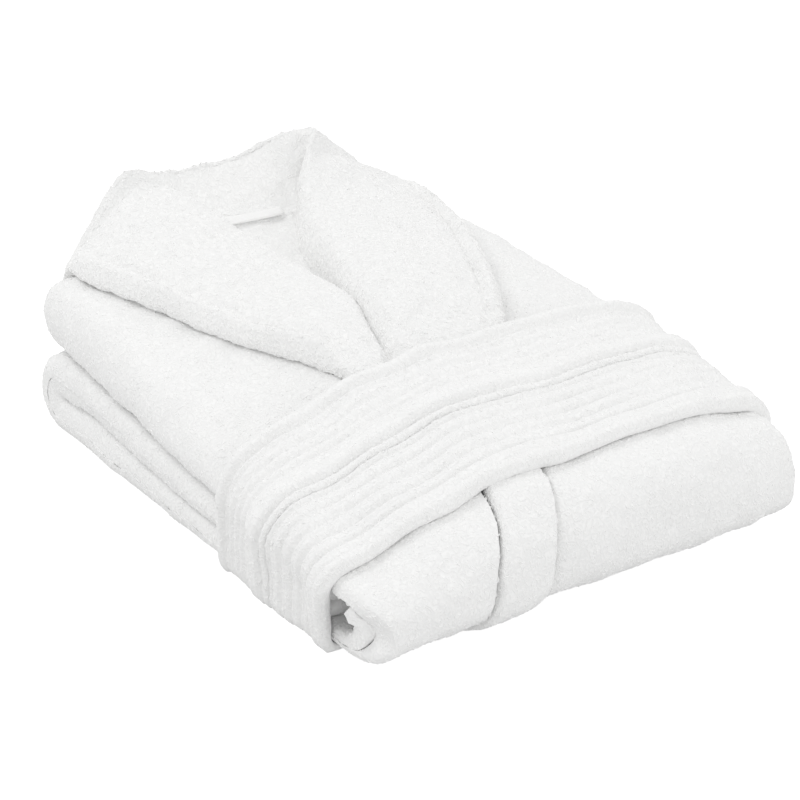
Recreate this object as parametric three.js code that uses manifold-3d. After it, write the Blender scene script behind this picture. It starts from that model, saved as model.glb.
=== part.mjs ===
// A terry-cloth bathrobe, folded for a hotel shelf: face up, sleeves behind, rolled in three from
// the neck to the hem, with its own belt wound twice round the front half of the pile.
//
// +X is the wearer's left, +Y runs to the neck, +Z is up and Z = 0 is the shelf. All in millimetres.
// The cloth is a roll fold. From the neck it runs forward (chest), turns under at the front (roll),
// runs back along the shelf (skirt), turns up at the neck end (turn) and runs forward again inside
// the pile (hem). A point of the cloth is given by its station along that path, by x, and by its
// depth: 0 on the inner face of the folded cloth, 1 on its outer face.
import * as THREE from "three";
import { mergeVertices } from "three/addons/utils/BufferGeometryUtils.js";
import Module from "manifold-3d";

// ---- driving dimensions -------------------------------------------------------------------
const RIGHT_SIDE = 177; // the wearer's right side of the pile, straight
const LEFT_SIDE_NECK = 180; // the wearer's left side at the neck end
const LEFT_SIDE_FRONT = 166; // and at the front roll, where the pile is narrower
const NECK_Y = 208; // neck end of the chest cloth
const ROLL_Y = -190; // where the chest cloth turns down
const ROLL_BULGE = 38; // how far the front roll stands out past that
const ROLL_CORE = 13; // the same for the inner face of the roll
const TURN_Y = 178; // where the skirt cloth turns up at the neck end
const TURN_BULGE = 32;
const HEM_Y = -180; // end of the cloth, inside the front roll

const PILE_NECK = 120; // height of the pile at the neck end
const PILE_FRONT = 79; // and at the front roll
const SKIRT_NECK = 31; // top of the lowest layer at the neck end
const SKIRT_FRONT = 24;
const HEM_NECK = 63; // top of the middle layer at the neck end
const HEM_FRONT = 50;
const CHEST_THICKNESS = 28; // front and back panels of the top layer
const SWELL = 2.6; // how soon the pile swells behind the roll
const RIGHT_DROP_FRONT = 0.38; // share of height lost at the right side, where the belt is tightest
const RIGHT_DROP_NECK = 0.06;
const RIGHT_DROP_FROM = -20; // x where that slope starts
const LEFT_DROP = 0.14;
const LEFT_DROP_FROM = 80;

const PLY_GAP = 0.6; // air between two pieces of cloth that lie on each other
const DEPTH_GAP = 0.034; // the same as a share of a layer's thickness
const EDGE_ROUND = 15; // round-over along the sides of the pile
const SIDE_WRAP = 23; // how far the front panels fold in behind the chest

const BELT_REAR_Y = -58; // rear edge of the belt's rear turn
const BELT_WIDTH = 65;
const BELT_THICKNESS = 6.5;
const BELT_UNDER = 4; // the belt pressed flat under the pile
const BELT_AIR = 0.7; // running clearance between the pile and the belt
const TIP_ROOM = 6; // extra room under the belt's rear edge, for the lapel tips
const TIP_REACH = 20; // how far the lapel tips run in under the belt

const BAND_WIDTH = 43; // stitched bands down the front edges
const CUFF_LENGTH = 75;
const CUFF_FRONT_Y = -150;
const SLEEVE_NECK_Y = 184;
const SLEEVE_INSET = 40; // sleeves keep this far inside the pile's sides
const SLEEVE_SPACING = 8; // between the two sleeves
const LOOP_WIDTH = 11;
const LOOP_LENGTH = 62;
const LOOP_THICKNESS = 3;
const LOOP_FRONT_Y = -140;
const HEM_BAND_LENGTH = 32;
const POCKET_HEIGHT = 165;
const POCKET_THICKNESS = 3;
const POCKET_FRONT_Y = -38;
const LEFT_POCKET_X = 18; // inner edge of the left pocket
const LEFT_POCKET_WIDTH = 132;
const RIGHT_POCKET_X = -131; // outer edge of the right pocket
const RIGHT_POCKET_WIDTH = 126;

const COLLAR_EDGE = 10; // thickness of the collar's rolled outer edge
const COLLAR_FALL_Z = PILE_NECK - 28; // how low the collar hangs behind the neck end
const COLLAR_PILE_NECK = 120; // the pile that the heights of the collar's roll are drawn over
const COLLAR_PILE_FRONT = 79;
const STAND_FOOT_Y = 174; // neck seam, where the collar stand starts
const STAND_FOOT_Z = PILE_NECK + 9;
const STAND_TOP_Y = 211;
const STAND_TOP_Z = PILE_NECK + 43;
const FACING_FRONT_Y = 66; // front edge of the facing inside the back of the neck
const FACING_FRONT_THICKNESS = 2;
const HANGER_LENGTH = 54;
const HANGER_WIDTH = 7;
const HANGER_THICKNESS = 2.4;
const HANGER_X = -12; // middle of the hanger loop

// ---- small maths --------------------------------------------------------------------------
const lerp = THREE.MathUtils.lerp;
const clamp01 = (t) => THREE.MathUtils.clamp(t, 0, 1);
function smooth(from, to, t) {
  const share = clamp01((t - from) / (to - from));
  return share * share * (3 - 2 * share);
}
const steps = (from, to, count) =>
  Array.from({ length: count + 1 }, (_, i) => lerp(from, to, i / count));

// A quarter-round: 0 at the edge, 1 from `radius` inwards.
const rounded = (distance, radius) => Math.sqrt(1 - (1 - clamp01(distance / radius)) ** 2);

// A line through a few [key, value] pairs, straight between them and level past the ends.
function chart(pairs) {
  return (key) => {
    const next = pairs.findIndex(([k]) => k > key);
    if (next === 0) return pairs[0][1];
    if (next < 0) return pairs[pairs.length - 1][1];
    const [k0, v0] = pairs[next - 1];
    const [k1, v1] = pairs[next];
    return lerp(v0, v1, (key - k0) / (k1 - k0));
  };
}

// ---- the pile's outline -------------------------------------------------------------------
const RECESS = BELT_UNDER + 0.4; // the pile's underside is lifted by the belt from here forward
const RECESS_Y = BELT_REAR_Y + 8;

const rightSide = () => -RIGHT_SIDE;
const leftSide = (y) =>
  lerp(LEFT_SIDE_FRONT, LEFT_SIDE_NECK, clamp01((y - ROLL_Y) / (NECK_Y - ROLL_Y)));

// 0 at the front roll, 1 at the neck end.
const swell = (y) => 1 - clamp01((NECK_Y - y) / (NECK_Y - ROLL_Y)) ** SWELL;
const pileTop = (y) => lerp(PILE_FRONT, PILE_NECK, swell(y));
const chestUnder = (y) => pileTop(y) - CHEST_THICKNESS;
const hemTop = (y) => lerp(HEM_FRONT, HEM_NECK, swell(y));
const skirtTop = (y) => lerp(SKIRT_FRONT, SKIRT_NECK, swell(y));
const sideMiddle = (y) => (hemTop(y) + pileTop(y)) / 2; // where the top layer's side bulges most
const underside = (y) => (y < RECESS_Y ? RECESS : 0);

// Share of its full height that the pile keeps at x, lower at the sides.
function fullness(x, y) {
  const right = clamp01((RIGHT_DROP_FROM - x) / (RIGHT_SIDE + RIGHT_DROP_FROM));
  const left = clamp01((x - LEFT_DROP_FROM) / (LEFT_SIDE_FRONT - LEFT_DROP_FROM));
  const drop = lerp(RIGHT_DROP_NECK, RIGHT_DROP_FRONT, smooth(NECK_Y - 20, BELT_REAR_Y, y));
  return 1 - drop * right ** 1.4 - LEFT_DROP * left ** 2;
}

// Puts a point of the full-height pile where the sloping pile has it. The lowest part is flat.
function settle(x, y, z) {
  const height = z > RECESS ? RECESS + (z - RECESS) * fullness(x, y) : z;
  return new THREE.Vector3(x, y, height);
}

// ---- the cloth's path ---------------------------------------------------------------------
// Stations 0-1 chest, 1-2 roll, 2-3 skirt, 3-4 turn, 4-5 hem.
function cloth(station, x, depth) {
  const part = Math.min(Math.floor(station), 4);
  const t = station - part;
  const angle = Math.PI * t;
  if (part === 0) {
    const y = lerp(NECK_Y, ROLL_Y, t);
    return settle(x, y, lerp(chestUnder(y), pileTop(y), depth));
  }
  if (part === 1) {
    const lower = lerp(skirtTop(ROLL_Y), RECESS, depth);
    const upper = lerp(chestUnder(ROLL_Y), pileTop(ROLL_Y), depth);
    const y = ROLL_Y - lerp(ROLL_CORE, ROLL_BULGE, depth) * Math.sin(angle);
    return settle(x, y, (upper + lower) / 2 + ((upper - lower) / 2) * Math.cos(angle));
  }
  if (part === 2) {
    const y = lerp(ROLL_Y, TURN_Y, t);
    return settle(x, y, lerp(skirtTop(y), underside(y), depth));
  }
  if (part === 3) {
    const inner = skirtTop(TURN_Y);
    const lower = lerp(inner, 0, depth);
    const upper = lerp(inner + PLY_GAP, hemTop(TURN_Y), depth);
    const y = TURN_Y + lerp(PLY_GAP / 2, TURN_BULGE, depth) * Math.sin(angle);
    return settle(x, y, (upper + lower) / 2 - ((upper - lower) / 2) * Math.cos(angle));
  }
  const y = lerp(TURN_Y, HEM_Y, t);
  return settle(x, y, lerp(skirtTop(y) + PLY_GAP, hemTop(y), depth));
}

const chestStation = (y) => (NECK_Y - y) / (NECK_Y - ROLL_Y);
const skirtStation = (y) => 2 + (y - ROLL_Y) / (TURN_Y - ROLL_Y);
const hemStation = (y) => 4 + (TURN_Y - y) / (TURN_Y - HEM_Y);
const yAt = (station) => cloth(station, 0, 1).y;

// ---- solids from grids --------------------------------------------------------------------
// A closed sheet: `low` and `high` give its two faces at each row and column.
function sheet(rows, columns, low, high) {
  const wide = columns;
  const faces = [low, high].map((face) =>
    rows.map((row) => steps(0, wide - 1, wide - 1).map((column) => face(row, column))),
  );
  const corners = faces.flat(2).flatMap((p) => [p.x, p.y, p.z]);
  const at = (face, row, column) => (face * rows.length + row) * wide + column;
  const triangles = [];
  const quad = (a, b, c, d) => triangles.push(a, b, c, a, c, d);
  const last = rows.length - 1;
  for (let r = 0; r < last; r++) {
    for (let c = 0; c < wide - 1; c++) {
      quad(at(0, r, c), at(0, r, c + 1), at(0, r + 1, c + 1), at(0, r + 1, c));
      quad(at(1, r, c), at(1, r + 1, c), at(1, r + 1, c + 1), at(1, r, c + 1));
    }
    quad(at(0, r, 0), at(0, r + 1, 0), at(1, r + 1, 0), at(1, r, 0));
    quad(at(0, r, wide - 1), at(1, r, wide - 1), at(1, r + 1, wide - 1), at(0, r + 1, wide - 1));
  }
  for (let c = 0; c < wide - 1; c++) {
    quad(at(0, 0, c), at(1, 0, c), at(1, 0, c + 1), at(0, 0, c + 1));
    quad(at(0, last, c), at(0, last, c + 1), at(1, last, c + 1), at(1, last, c));
  }
  return facingOut(corners, triangles);
}

// A closed tube through rings of points, shut at both ends with fans.
function loft(rings) {
  const around = rings[0].length;
  const corners = rings.flat().flatMap((p) => [p.x, p.y, p.z]);
  const triangles = [];
  for (let r = 0; r + 1 < rings.length; r++) {
    for (let k = 0; k < around; k++) {
      const a = r * around + k;
      const b = r * around + ((k + 1) % around);
      triangles.push(a, b, b + around, a, b + around, a + around);
    }
  }
  const end = (rings.length - 1) * around;
  for (const [ring, start, turn] of [[rings[0], 0, 1], [rings[rings.length - 1], end, -1]]) {
    const middle = new THREE.Vector3();
    ring.forEach((p) => middle.addScaledVector(p, 1 / around));
    const hub = corners.length / 3;
    corners.push(middle.x, middle.y, middle.z);
    for (let k = 0; k < around; k++) {
      const pair = [start + k, start + ((k + 1) % around)];
      triangles.push(hub, ...(turn > 0 ? pair.reverse() : pair));
    }
  }
  return facingOut(corners, triangles);
}

// Turns every face round if the closed surface encloses a negative volume.
function facingOut(corners, triangles) {
  let volume = 0;
  const point = (i) => new THREE.Vector3().fromArray(corners, 3 * i);
  for (let i = 0; i < triangles.length; i += 3) {
    const [a, b, c] = [0, 1, 2].map((k) => point(triangles[i + k]));
    volume += a.dot(b.cross(c));
  }
  if (volume < 0) triangles.reverse();
  const geometry = new THREE.BufferGeometry();
  geometry.setAttribute("position", new THREE.Float32BufferAttribute(corners, 3));
  geometry.setIndex(triangles);
  return geometry;
}

const wasm = await Module();
wasm.setup();

function solidOf(geometry) {
  const plain = new THREE.BufferGeometry();
  plain.setAttribute("position", geometry.getAttribute("position"));
  plain.setIndex(geometry.index);
  const merged = mergeVertices(plain, 1e-4);
  return new wasm.Manifold(
    new wasm.Mesh({
      numProp: 3,
      vertProperties: new Float32Array(merged.attributes.position.array),
      triVerts: new Uint32Array(merged.index.array),
    }),
  );
}

// The first shape with the second cut out of it.
function cut(shape, tool) {
  const { numProp, vertProperties, triVerts } = solidOf(shape).subtract(solidOf(tool)).getMesh();
  const geometry = new THREE.BufferGeometry();
  const corners = Array.from({ length: vertProperties.length / numProp }, (_, i) => [
    ...vertProperties.slice(i * numProp, i * numProp + 3),
  ]).flat();
  geometry.setAttribute("position", new THREE.Float32BufferAttribute(corners, 3));
  geometry.setIndex(Array.from(triVerts));
  return geometry;
}

function block(low, high) {
  const size = high.clone().sub(low);
  const box = new THREE.BoxGeometry(size.x, size.y, size.z);
  box.deleteAttribute("normal");
  box.deleteAttribute("uv");
  return mergeVertices(box.translate(...low.clone().add(high).divideScalar(2).toArray()));
}

// ---- pieces and their cloth ---------------------------------------------------------------
const robe = new THREE.Group();
const TERRY = { color: 0xf4f4f2, roughness: 0.95, metalness: 0 };

function piece(name, geometry) {
  const flat = geometry.toNonIndexed();
  flat.computeVertexNormals();
  const mesh = new THREE.Mesh(flat, new THREE.MeshStandardMaterial(TERRY));
  mesh.name = name;
  robe.add(mesh);
}

// ---- edges of the two fronts --------------------------------------------------------------
const BAND_TOP_Y = BELT_REAR_Y - 24; // the bands start under the belt, where the lapels end

// The left front's edge. It lies on top, swings to the right below the belt, and runs on under.
const leftEdge = chart([
  [chestStation(NECK_Y), 62],
  [chestStation(182), 38],
  [chestStation(152), 20],
  [chestStation(100), 5],
  [chestStation(34), -9],
  [chestStation(-20), -25],
  [chestStation(BAND_TOP_Y), -43],
  [1, -64],
  [2, -110],
  [2.2, -135],
  [5, -135],
]);

// The right front's edge, hidden under the left front below the crossing of the lapels.
const rightEdge = chart([
  [chestStation(NECK_Y), -76],
  [chestStation(194), -56],
  [chestStation(150), -38],
  [chestStation(85), -26],
  [chestStation(34), -17],
  [chestStation(-20), 16],
  [chestStation(BAND_TOP_Y), 45],
  [5, 45],
]);

const banded = (station) => station > chestStation(BAND_TOP_Y);
const bandRoom = (station) => (banded(station) ? BAND_WIDTH + PLY_GAP : 0);

// ---- rows of the long panels --------------------------------------------------------------
const neckRows = [0, 2.5, 7, EDGE_ROUND].map((d) => chestStation(NECK_Y - d));
const bandTopRows = [0.3, -0.3].map((d) => chestStation(BAND_TOP_Y + d));
const WRAP_END = chestStation(ROLL_Y + 8);
const PANEL_END = hemStation(HEM_Y + HEM_BAND_LENGTH + PLY_GAP);
const panelRows = [
  ...neckRows,
  ...[165, 130, 95, 60, 25, -10, -38].map(chestStation),
  ...bandTopRows,
  ...[-110, -140, -165].map(chestStation),
  WRAP_END,
  ...steps(1, 2, 6),
  ...[RECESS_Y - 70, RECESS_Y - 0.3, RECESS_Y + 0.3, 0, 60, 120].map(skirtStation),
  ...steps(3, 4, 6),
  ...[130, 80, 30, -20, -70, -120].map(hemStation),
  PANEL_END,
];

// How much of its thickness the cloth keeps near the neck end.
const neckRound = (station) => Math.max(0.12, rounded(NECK_Y - yOnChest(station), EDGE_ROUND));
const yOnChest = (station) => (station < 1 ? lerp(NECK_Y, ROLL_Y, station) : ROLL_Y);
const sideRound = (inset) => Math.max(0.15, rounded(inset, EDGE_ROUND));

// The outer face of a front panel, rounded over at the side of the pile and at the neck end.
function frontFace(station, x, inset, depth) {
  const keep = sideRound(inset) * neckRound(station);
  if (station > 1) return cloth(station, x, lerp(0.5 + DEPTH_GAP, depth, keep));
  const y = yOnChest(station);
  return settle(x, y, lerp(sideMiddle(y), lerp(chestUnder(y), pileTop(y), depth), keep));
}

// The inner face of a front panel. On the chest the panel's side is folded in behind the back
// panel, so that it reaches down to the layer below.
function frontUnder(station, x, inset, depth) {
  const wraps = inset < SIDE_WRAP && station < WRAP_END + 1e-6;
  if (!wraps) return cloth(station, x, depth);
  const y = yOnChest(station);
  const under = hemTop(y) + PLY_GAP;
  return settle(x, y, lerp(sideMiddle(y), under, sideRound(inset) * neckRound(station)));
}

const INSETS = [0, 2.5, 7.5, EDGE_ROUND, SIDE_WRAP - 0.5, SIDE_WRAP + 2.5];
const INSIDE = Infinity; // the inset of a column that is clear of the pile's sides
const UNDER_LAP = 0.5 + 0.24; // the right front keeps below this depth where the left covers it
const OVER_LAP = UNDER_LAP + DEPTH_GAP * 1.8;

// ---- back panel ---------------------------------------------------------------------------
function backPanel() {
  const insets = [0, 4, EDGE_ROUND];
  const inner = steps(0, 1, 7).slice(1, -1);
  const total = insets.length * 2 + inner.length;
  // Between the folded-in sides on the chest, and as wide as the pile from the roll on.
  const side = (station) => lerp(SIDE_WRAP + 3.5, 0.5, smooth(1, 1.4, station));
  const place = (station, column) => {
    const y = yAt(station);
    const from = rightSide() + side(station);
    const to = leftSide(y) - side(station);
    const mirrored = total - 1 - column;
    if (column < insets.length) return [from + insets[column], insets[column]];
    if (mirrored < insets.length) return [to - insets[mirrored], insets[mirrored]];
    const t = inner[column - insets.length];
    return [lerp(from + EDGE_ROUND, to - EDGE_ROUND, t), INSIDE];
  };
  const face = (depth) => (station, column) => {
    const [x, inset] = place(station, column);
    const round = station > 1.4 ? sideRound(inset) : 1;
    const keep = round * neckRound(station);
    return cloth(station, x, lerp(0.5 - DEPTH_GAP / 2, depth, keep));
  };
  return sheet(panelRows, total, face(0), face(0.5 - DEPTH_GAP / 2));
}
piece("back_panel", backPanel());

// ---- front panels -------------------------------------------------------------------------
function rightFrontPanel() {
  const lap = [-9, -1]; // from the left front's edge: full thickness, then tucked under it
  const inner = [0.3, 0.6, 0.8];
  const under = [0, 0.25, 0.5, 0.75, 1]; // across the part that the left front covers
  const total = INSETS.length + inner.length + 1 + under.length;
  const place = (station, column) => {
    const start = rightSide();
    const edge = rightEdge(station) - bandRoom(station);
    const full = Math.min(leftEdge(station) + lap[0], edge - 4);
    const tucked = Math.min(leftEdge(station) + lap[1], edge - 2);
    if (column < INSETS.length) return [start + INSETS[column], INSETS[column], 1];
    const rest = column - INSETS.length;
    const from = start + INSETS[INSETS.length - 1];
    if (rest < inner.length) return [lerp(from, full, inner[rest]), INSIDE, 1];
    if (rest === inner.length) return [full, INSIDE, 1];
    return [lerp(tucked, edge, under[rest - inner.length - 1]), INSIDE, UNDER_LAP];
  };
  const high = (station, column) => frontFace(station, ...place(station, column));
  const low = (station, column) => {
    const [x, inset] = place(station, column);
    return frontUnder(station, x, inset, 0.5 + DEPTH_GAP / 2);
  };
  return sheet(panelRows, total, low, high);
}

function leftFrontPanel() {
  const inner = [0.35, 0.7];
  const over = [0, 0.25, 0.5, 0.75, 1]; // across the part that covers the right front
  const total = INSETS.length + inner.length + over.length + 1;
  const place = (station, column) => {
    const y = yAt(station);
    const end = leftSide(y);
    const edge = leftEdge(station) + bandRoom(station);
    const lapEnd = Math.max(rightEdge(station) + 1, edge + 2);
    const full = Math.max(rightEdge(station) + 9, edge + 4);
    const mirrored = total - 1 - column;
    if (mirrored < INSETS.length) return [end - INSETS[mirrored], INSETS[mirrored], false];
    const to = end - INSETS[INSETS.length - 1];
    if (column < over.length) return [lerp(edge, lapEnd, over[column]), INSIDE, true];
    if (column === over.length) return [full, INSIDE, false];
    return [lerp(full, to, inner[column - over.length - 1]), INSIDE, false];
  };
  const high = (station, column) => {
    const [x, inset] = place(station, column);
    return frontFace(station, x, inset, 1);
  };
  const low = (station, column) => {
    const [x, inset, laps] = place(station, column);
    const depth = laps ? lerp(0.5 + DEPTH_GAP / 2, OVER_LAP, neckRound(station)) : 0.5 + DEPTH_GAP / 2;
    return frontUnder(station, x, inset, depth);
  };
  return sheet(panelRows, total, low, high);
}

// ---- front bands --------------------------------------------------------------------------
const bandRows = panelRows.filter((station) => station >= bandTopRows[1]);

function leftFrontBand() {
  const share = [0, 0.06, 0.5, 0.94, 1];
  const swellAt = [-0.09, 0, 0, 0, -0.09];
  const x = (station, column) => leftEdge(station) + share[column] * BAND_WIDTH;
  const low = (station, column) => cloth(station, x(station, column), OVER_LAP);
  const high = (station, column) => cloth(station, x(station, column), 1 + swellAt[column]);
  return sheet(bandRows, share.length, low, high);
}

function rightFrontBand() {
  const share = [0, 0.5, 1];
  const x = (station, column) => rightEdge(station) - (1 - share[column]) * BAND_WIDTH;
  const low = (station, column) => cloth(station, x(station, column), 0.5 + DEPTH_GAP / 2);
  const high = (station, column) => cloth(station, x(station, column), UNDER_LAP);
  return sheet(bandRows, share.length, low, high);
}

// ---- pockets ------------------------------------------------------------------------------
// Patch pockets on the skirt. The right one is under the left front, the left one faces the shelf.
const POCKET_REAR_Y = POCKET_FRONT_Y + POCKET_HEIGHT;
// The outer face of the covered right front, at the pocket's lowest corner.
const underLapZ = (y) => settle(RIGHT_POCKET_X, y, lerp(skirtTop(y), 0, UNDER_LAP)).z;
const rightPocketTop = Math.min(...[POCKET_FRONT_Y, POCKET_REAR_Y].map(underLapZ)) - PLY_GAP / 2;
const pocketBlock = (x, width, z, room) =>
  block(
    new THREE.Vector3(x - room, POCKET_FRONT_Y - room, z - room),
    new THREE.Vector3(x + width + room, POCKET_REAR_Y + room, z + POCKET_THICKNESS + room),
  );
const leftPocketAt = [LEFT_POCKET_X, LEFT_POCKET_WIDTH, 0];
const rightPocketAt = [RIGHT_POCKET_X, RIGHT_POCKET_WIDTH, rightPocketTop - POCKET_THICKNESS];
const POCKET_ROOM = 0.35;

const recessed = (shape, place) => cut(shape, pocketBlock(...place, POCKET_ROOM));

piece("right_front_panel", rightFrontPanel());
piece("left_front_panel", [leftPocketAt, rightPocketAt].reduce(recessed, leftFrontPanel()));
piece("right_front_band", rightFrontBand());
piece("left_front_band", recessed(leftFrontBand(), rightPocketAt));
piece("right_pocket", pocketBlock(...rightPocketAt, 0));
piece("left_pocket", pocketBlock(...leftPocketAt, 0));

// ---- hem ----------------------------------------------------------------------------------
function hemBand() {
  const share = [0, 0.03, 0.2, 0.4, 0.6, 0.8, 0.97, 1];
  const rows = [HEM_Y + HEM_BAND_LENGTH, HEM_Y + HEM_BAND_LENGTH / 2, HEM_Y + 2, HEM_Y].map(hemStation);
  const face = (outer) => (station, column) => {
    const y = yAt(station);
    const x = lerp(rightSide() + 1, leftSide(y) - 1, share[column]);
    const edge = column === 0 || column === share.length - 1 || station === rows[3];
    const depth = edge ? 0.3 : 0;
    return cloth(station, x, outer ? 1 - depth : depth);
  };
  return sheet(rows, share.length, face(false), face(true));
}
piece("hem_band", hemBand());

// ---- sleeves, cuffs and belt loops, folded behind the chest ----------------------------------
// A flat piece between the middle layer and the chest.
function tucked(rows, xFrom, xTo, thicknessAt) {
  const share = [0, 0.12, 0.5, 0.88, 1];
  const pinch = [0.3, 0, 0, 0, 0.3];
  const x = (y, column) => lerp(xFrom(y), xTo(y), share[column]);
  const bottom = (y) => hemTop(y) + PLY_GAP;
  const top = (y) => bottom(y) + thicknessAt(y);
  const low = (y, column) => settle(x(y, column), y, lerp(bottom(y), top(y), pinch[column]));
  const high = (y, column) => settle(x(y, column), y, lerp(top(y), bottom(y), pinch[column]));
  return sheet(rows, share.length, low, high);
}
const sleeveSpace = (y) => chestUnder(y) - hemTop(y) - 2.4 * PLY_GAP;
const cuffNeckY = CUFF_FRONT_Y + CUFF_LENGTH;
const sleeveRows = [SLEEVE_NECK_Y, 150, 110, 70, 30, -10, -45, cuffNeckY + PLY_GAP];
const cuffRows = steps(cuffNeckY, CUFF_FRONT_Y, 3);
const halfSpacing = SLEEVE_SPACING / 2;
for (const [name, rows] of [["sleeve", sleeveRows], ["cuff", cuffRows]]) {
  const right = tucked(rows, () => rightSide() + SLEEVE_INSET, () => -halfSpacing, sleeveSpace);
  const left = tucked(rows, () => halfSpacing, (y) => leftSide(y) - SLEEVE_INSET, sleeveSpace);
  piece("right_" + name, right);
  piece("left_" + name, left);
}

const loopRows = steps(LOOP_FRONT_Y + LOOP_LENGTH, LOOP_FRONT_Y, 3);
const loopInset = SIDE_WRAP + 3.5;
const loopThickness = () => LOOP_THICKNESS;
piece(
  "right_belt_loop",
  tucked(loopRows, () => rightSide() + loopInset, () => rightSide() + loopInset + LOOP_WIDTH, loopThickness),
);
piece(
  "left_belt_loop",
  tucked(
    loopRows,
    (y) => leftSide(y) - loopInset - LOOP_WIDTH,
    (y) => leftSide(y) - loopInset,
    loopThickness,
  ),
);

// ---- shawl collar -------------------------------------------------------------------------
// Roll line and outer edge of the collar, from the right lapel's tip round the neck to the left
// lapel's tip: [roll x, y, z, outer x, outer y]. The outer edge lies on the cloth below it, and
// the roll goes up and down with the pile's top from the heights that it is drawn at.
const COLLAR_STATIONS = [
  [-52, BELT_REAR_Y - TIP_REACH, 101, -66, BELT_REAR_Y - TIP_REACH],
  [-42, -50, 109.5, -74, -50],
  [-31, -8, 117, -86, -7],
  [-19, 40, 124, -107, 36],
  [-24, 85, 130, -123, 88],
  [-38, 150, 141, -144, 145],
  [-60, 196, 158, -157, 190],
  [-92, 215, 175, -140, 230],
  [-50, 216, 168, -60, 239],
  [0, 216, 166, 0, 240],
  [42, 215, 174, 62, 239],
  [62, 208, 178, 136, 228],
  [40, 186, 165, 148, 200],
  [17, 152, 146, 139, 155],
  [2, 100, 138, 121, 98],
  [-13, 40, 131, 98, 38],
  [-28, -20, 122, 70, -24],
  [-38, -56, 110.8, 55, -52],
  [-47, BELT_REAR_Y - TIP_REACH, 101.8, 42, BELT_REAR_Y - TIP_REACH],
];
const COLLAR_PIECES = {
  right_lapel: [0, 6.6],
  right_collar: [6.65, 8.97],
  left_collar: [9.03, 11.35],
  left_lapel: [11.4, 18],
};
const LAPEL_BULGE = 5;

const drawnTop = (y) => lerp(COLLAR_PILE_FRONT, COLLAR_PILE_NECK, swell(y));
const rollCurve = new THREE.CatmullRomCurve3(
  COLLAR_STATIONS.map(([x, y, z]) => new THREE.Vector3(x, y, z + pileTop(y) - drawnTop(y))),
  false,
  "centripetal",
);
const outerCurve = new THREE.CatmullRomCurve3(
  COLLAR_STATIONS.map((s) => new THREE.Vector3(s[3], s[4], 0)),
  false,
  "centripetal",
);

// What the collar lies on: the top of the chest, and behind the neck end nothing but its own hang.
function collarSeat(x, y) {
  const top = settle(x, y, pileTop(y) + PLY_GAP).z;
  return lerp(top, COLLAR_FALL_Z, smooth(NECK_Y, NECK_Y + 12, y));
}

// The lapels thin out to their tips under the belt.
const collarEdge = chart([
  [BELT_REAR_Y - TIP_REACH, 1],
  [BELT_REAR_Y, 4],
  [BELT_REAR_Y + 30, COLLAR_EDGE],
]);

function collarRing(station) {
  const t = station / (COLLAR_STATIONS.length - 1);
  const roll = rollCurve.getPoint(t);
  const outer = outerCurve.getPoint(t);
  const edge = collarEdge(outer.y);
  const bulge = LAPEL_BULGE * smooth(BELT_REAR_Y + 10, BELT_REAR_Y + 60, roll.y);
  const at = (share) => [lerp(roll.x, outer.x, share), lerp(roll.y, outer.y, share)];
  const seatAt = (share) => collarSeat(...at(share));
  const outerTop = seatAt(1) + edge;
  const topAt = (share) => {
    const straight = lerp(roll.z, outerTop, share);
    return Math.max(straight + bulge * 4 * share * (1 - share), seatAt(share) + edge * 0.8);
  };
  const on = (share, z) => new THREE.Vector3(...at(share), z);
  const top = [0.06, 0.2, 0.4, 0.6, 0.8, 0.94].map((share) => on(share, topAt(share)));
  const rim = on(1.0, lerp(seatAt(1), outerTop, 0.5));
  const seat = [0.96, 0.85, 0.7, 0.5, 0.3, 0.14].map((share) => on(share, seatAt(share)));
  const inner = on(0, lerp(seatAt(0), topAt(0.06), 0.5));
  return [...top, rim, ...seat, inner];
}

for (const [name, [from, to]] of Object.entries(COLLAR_PIECES)) {
  const count = Math.round((to - from) * 2.4);
  piece(name, loft(steps(from, to, count).map(collarRing)));
}

// ---- inside of the neck ---------------------------------------------------------------------
const NECK_ROOM = 5; // the stand and the facing keep this far inside the fronts' edges
const neckColumns = [0, 0.25, 0.5, 0.75, 1];
const neckX = (y, column) => {
  const station = chestStation(y);
  const from = rightEdge(station) + NECK_ROOM;
  return lerp(from, leftEdge(station) - NECK_ROOM, neckColumns[column]);
};
const backFace = (y) => lerp(chestUnder(y), pileTop(y), 0.5 - DEPTH_GAP / 2) + PLY_GAP;
const neckFloor = (y, column) => settle(neckX(y, column), y, backFace(y));

// The collar stand rises from the neck seam to the back of the collar.
const standRows = steps(STAND_FOOT_Y + PLY_GAP, STAND_TOP_Y - 4, 5);
const standTop = (y, column) => {
  const t = clamp01((y - STAND_FOOT_Y) / (STAND_TOP_Y - STAND_FOOT_Y));
  return new THREE.Vector3(neckX(y, column), y, lerp(STAND_FOOT_Z, STAND_TOP_Z, t));
};
piece("collar_stand", sheet(standRows, neckColumns.length, neckFloor, standTop));

// The half-moon facing inside the back of the neck rises to the neck seam.
const facingRows = steps(FACING_FRONT_Y, STAND_FOOT_Y, 5);
const facingTop = (y, column) => {
  const floor = neckFloor(y, column);
  const t = (y - FACING_FRONT_Y) / (STAND_FOOT_Y - FACING_FRONT_Y);
  const front = floor.z + FACING_FRONT_THICKNESS;
  return floor.setZ(lerp(front, STAND_FOOT_Z - 1, t ** 2));
};
piece("back_neck_facing", sheet(facingRows, neckColumns.length, neckFloor, facingTop));

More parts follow.
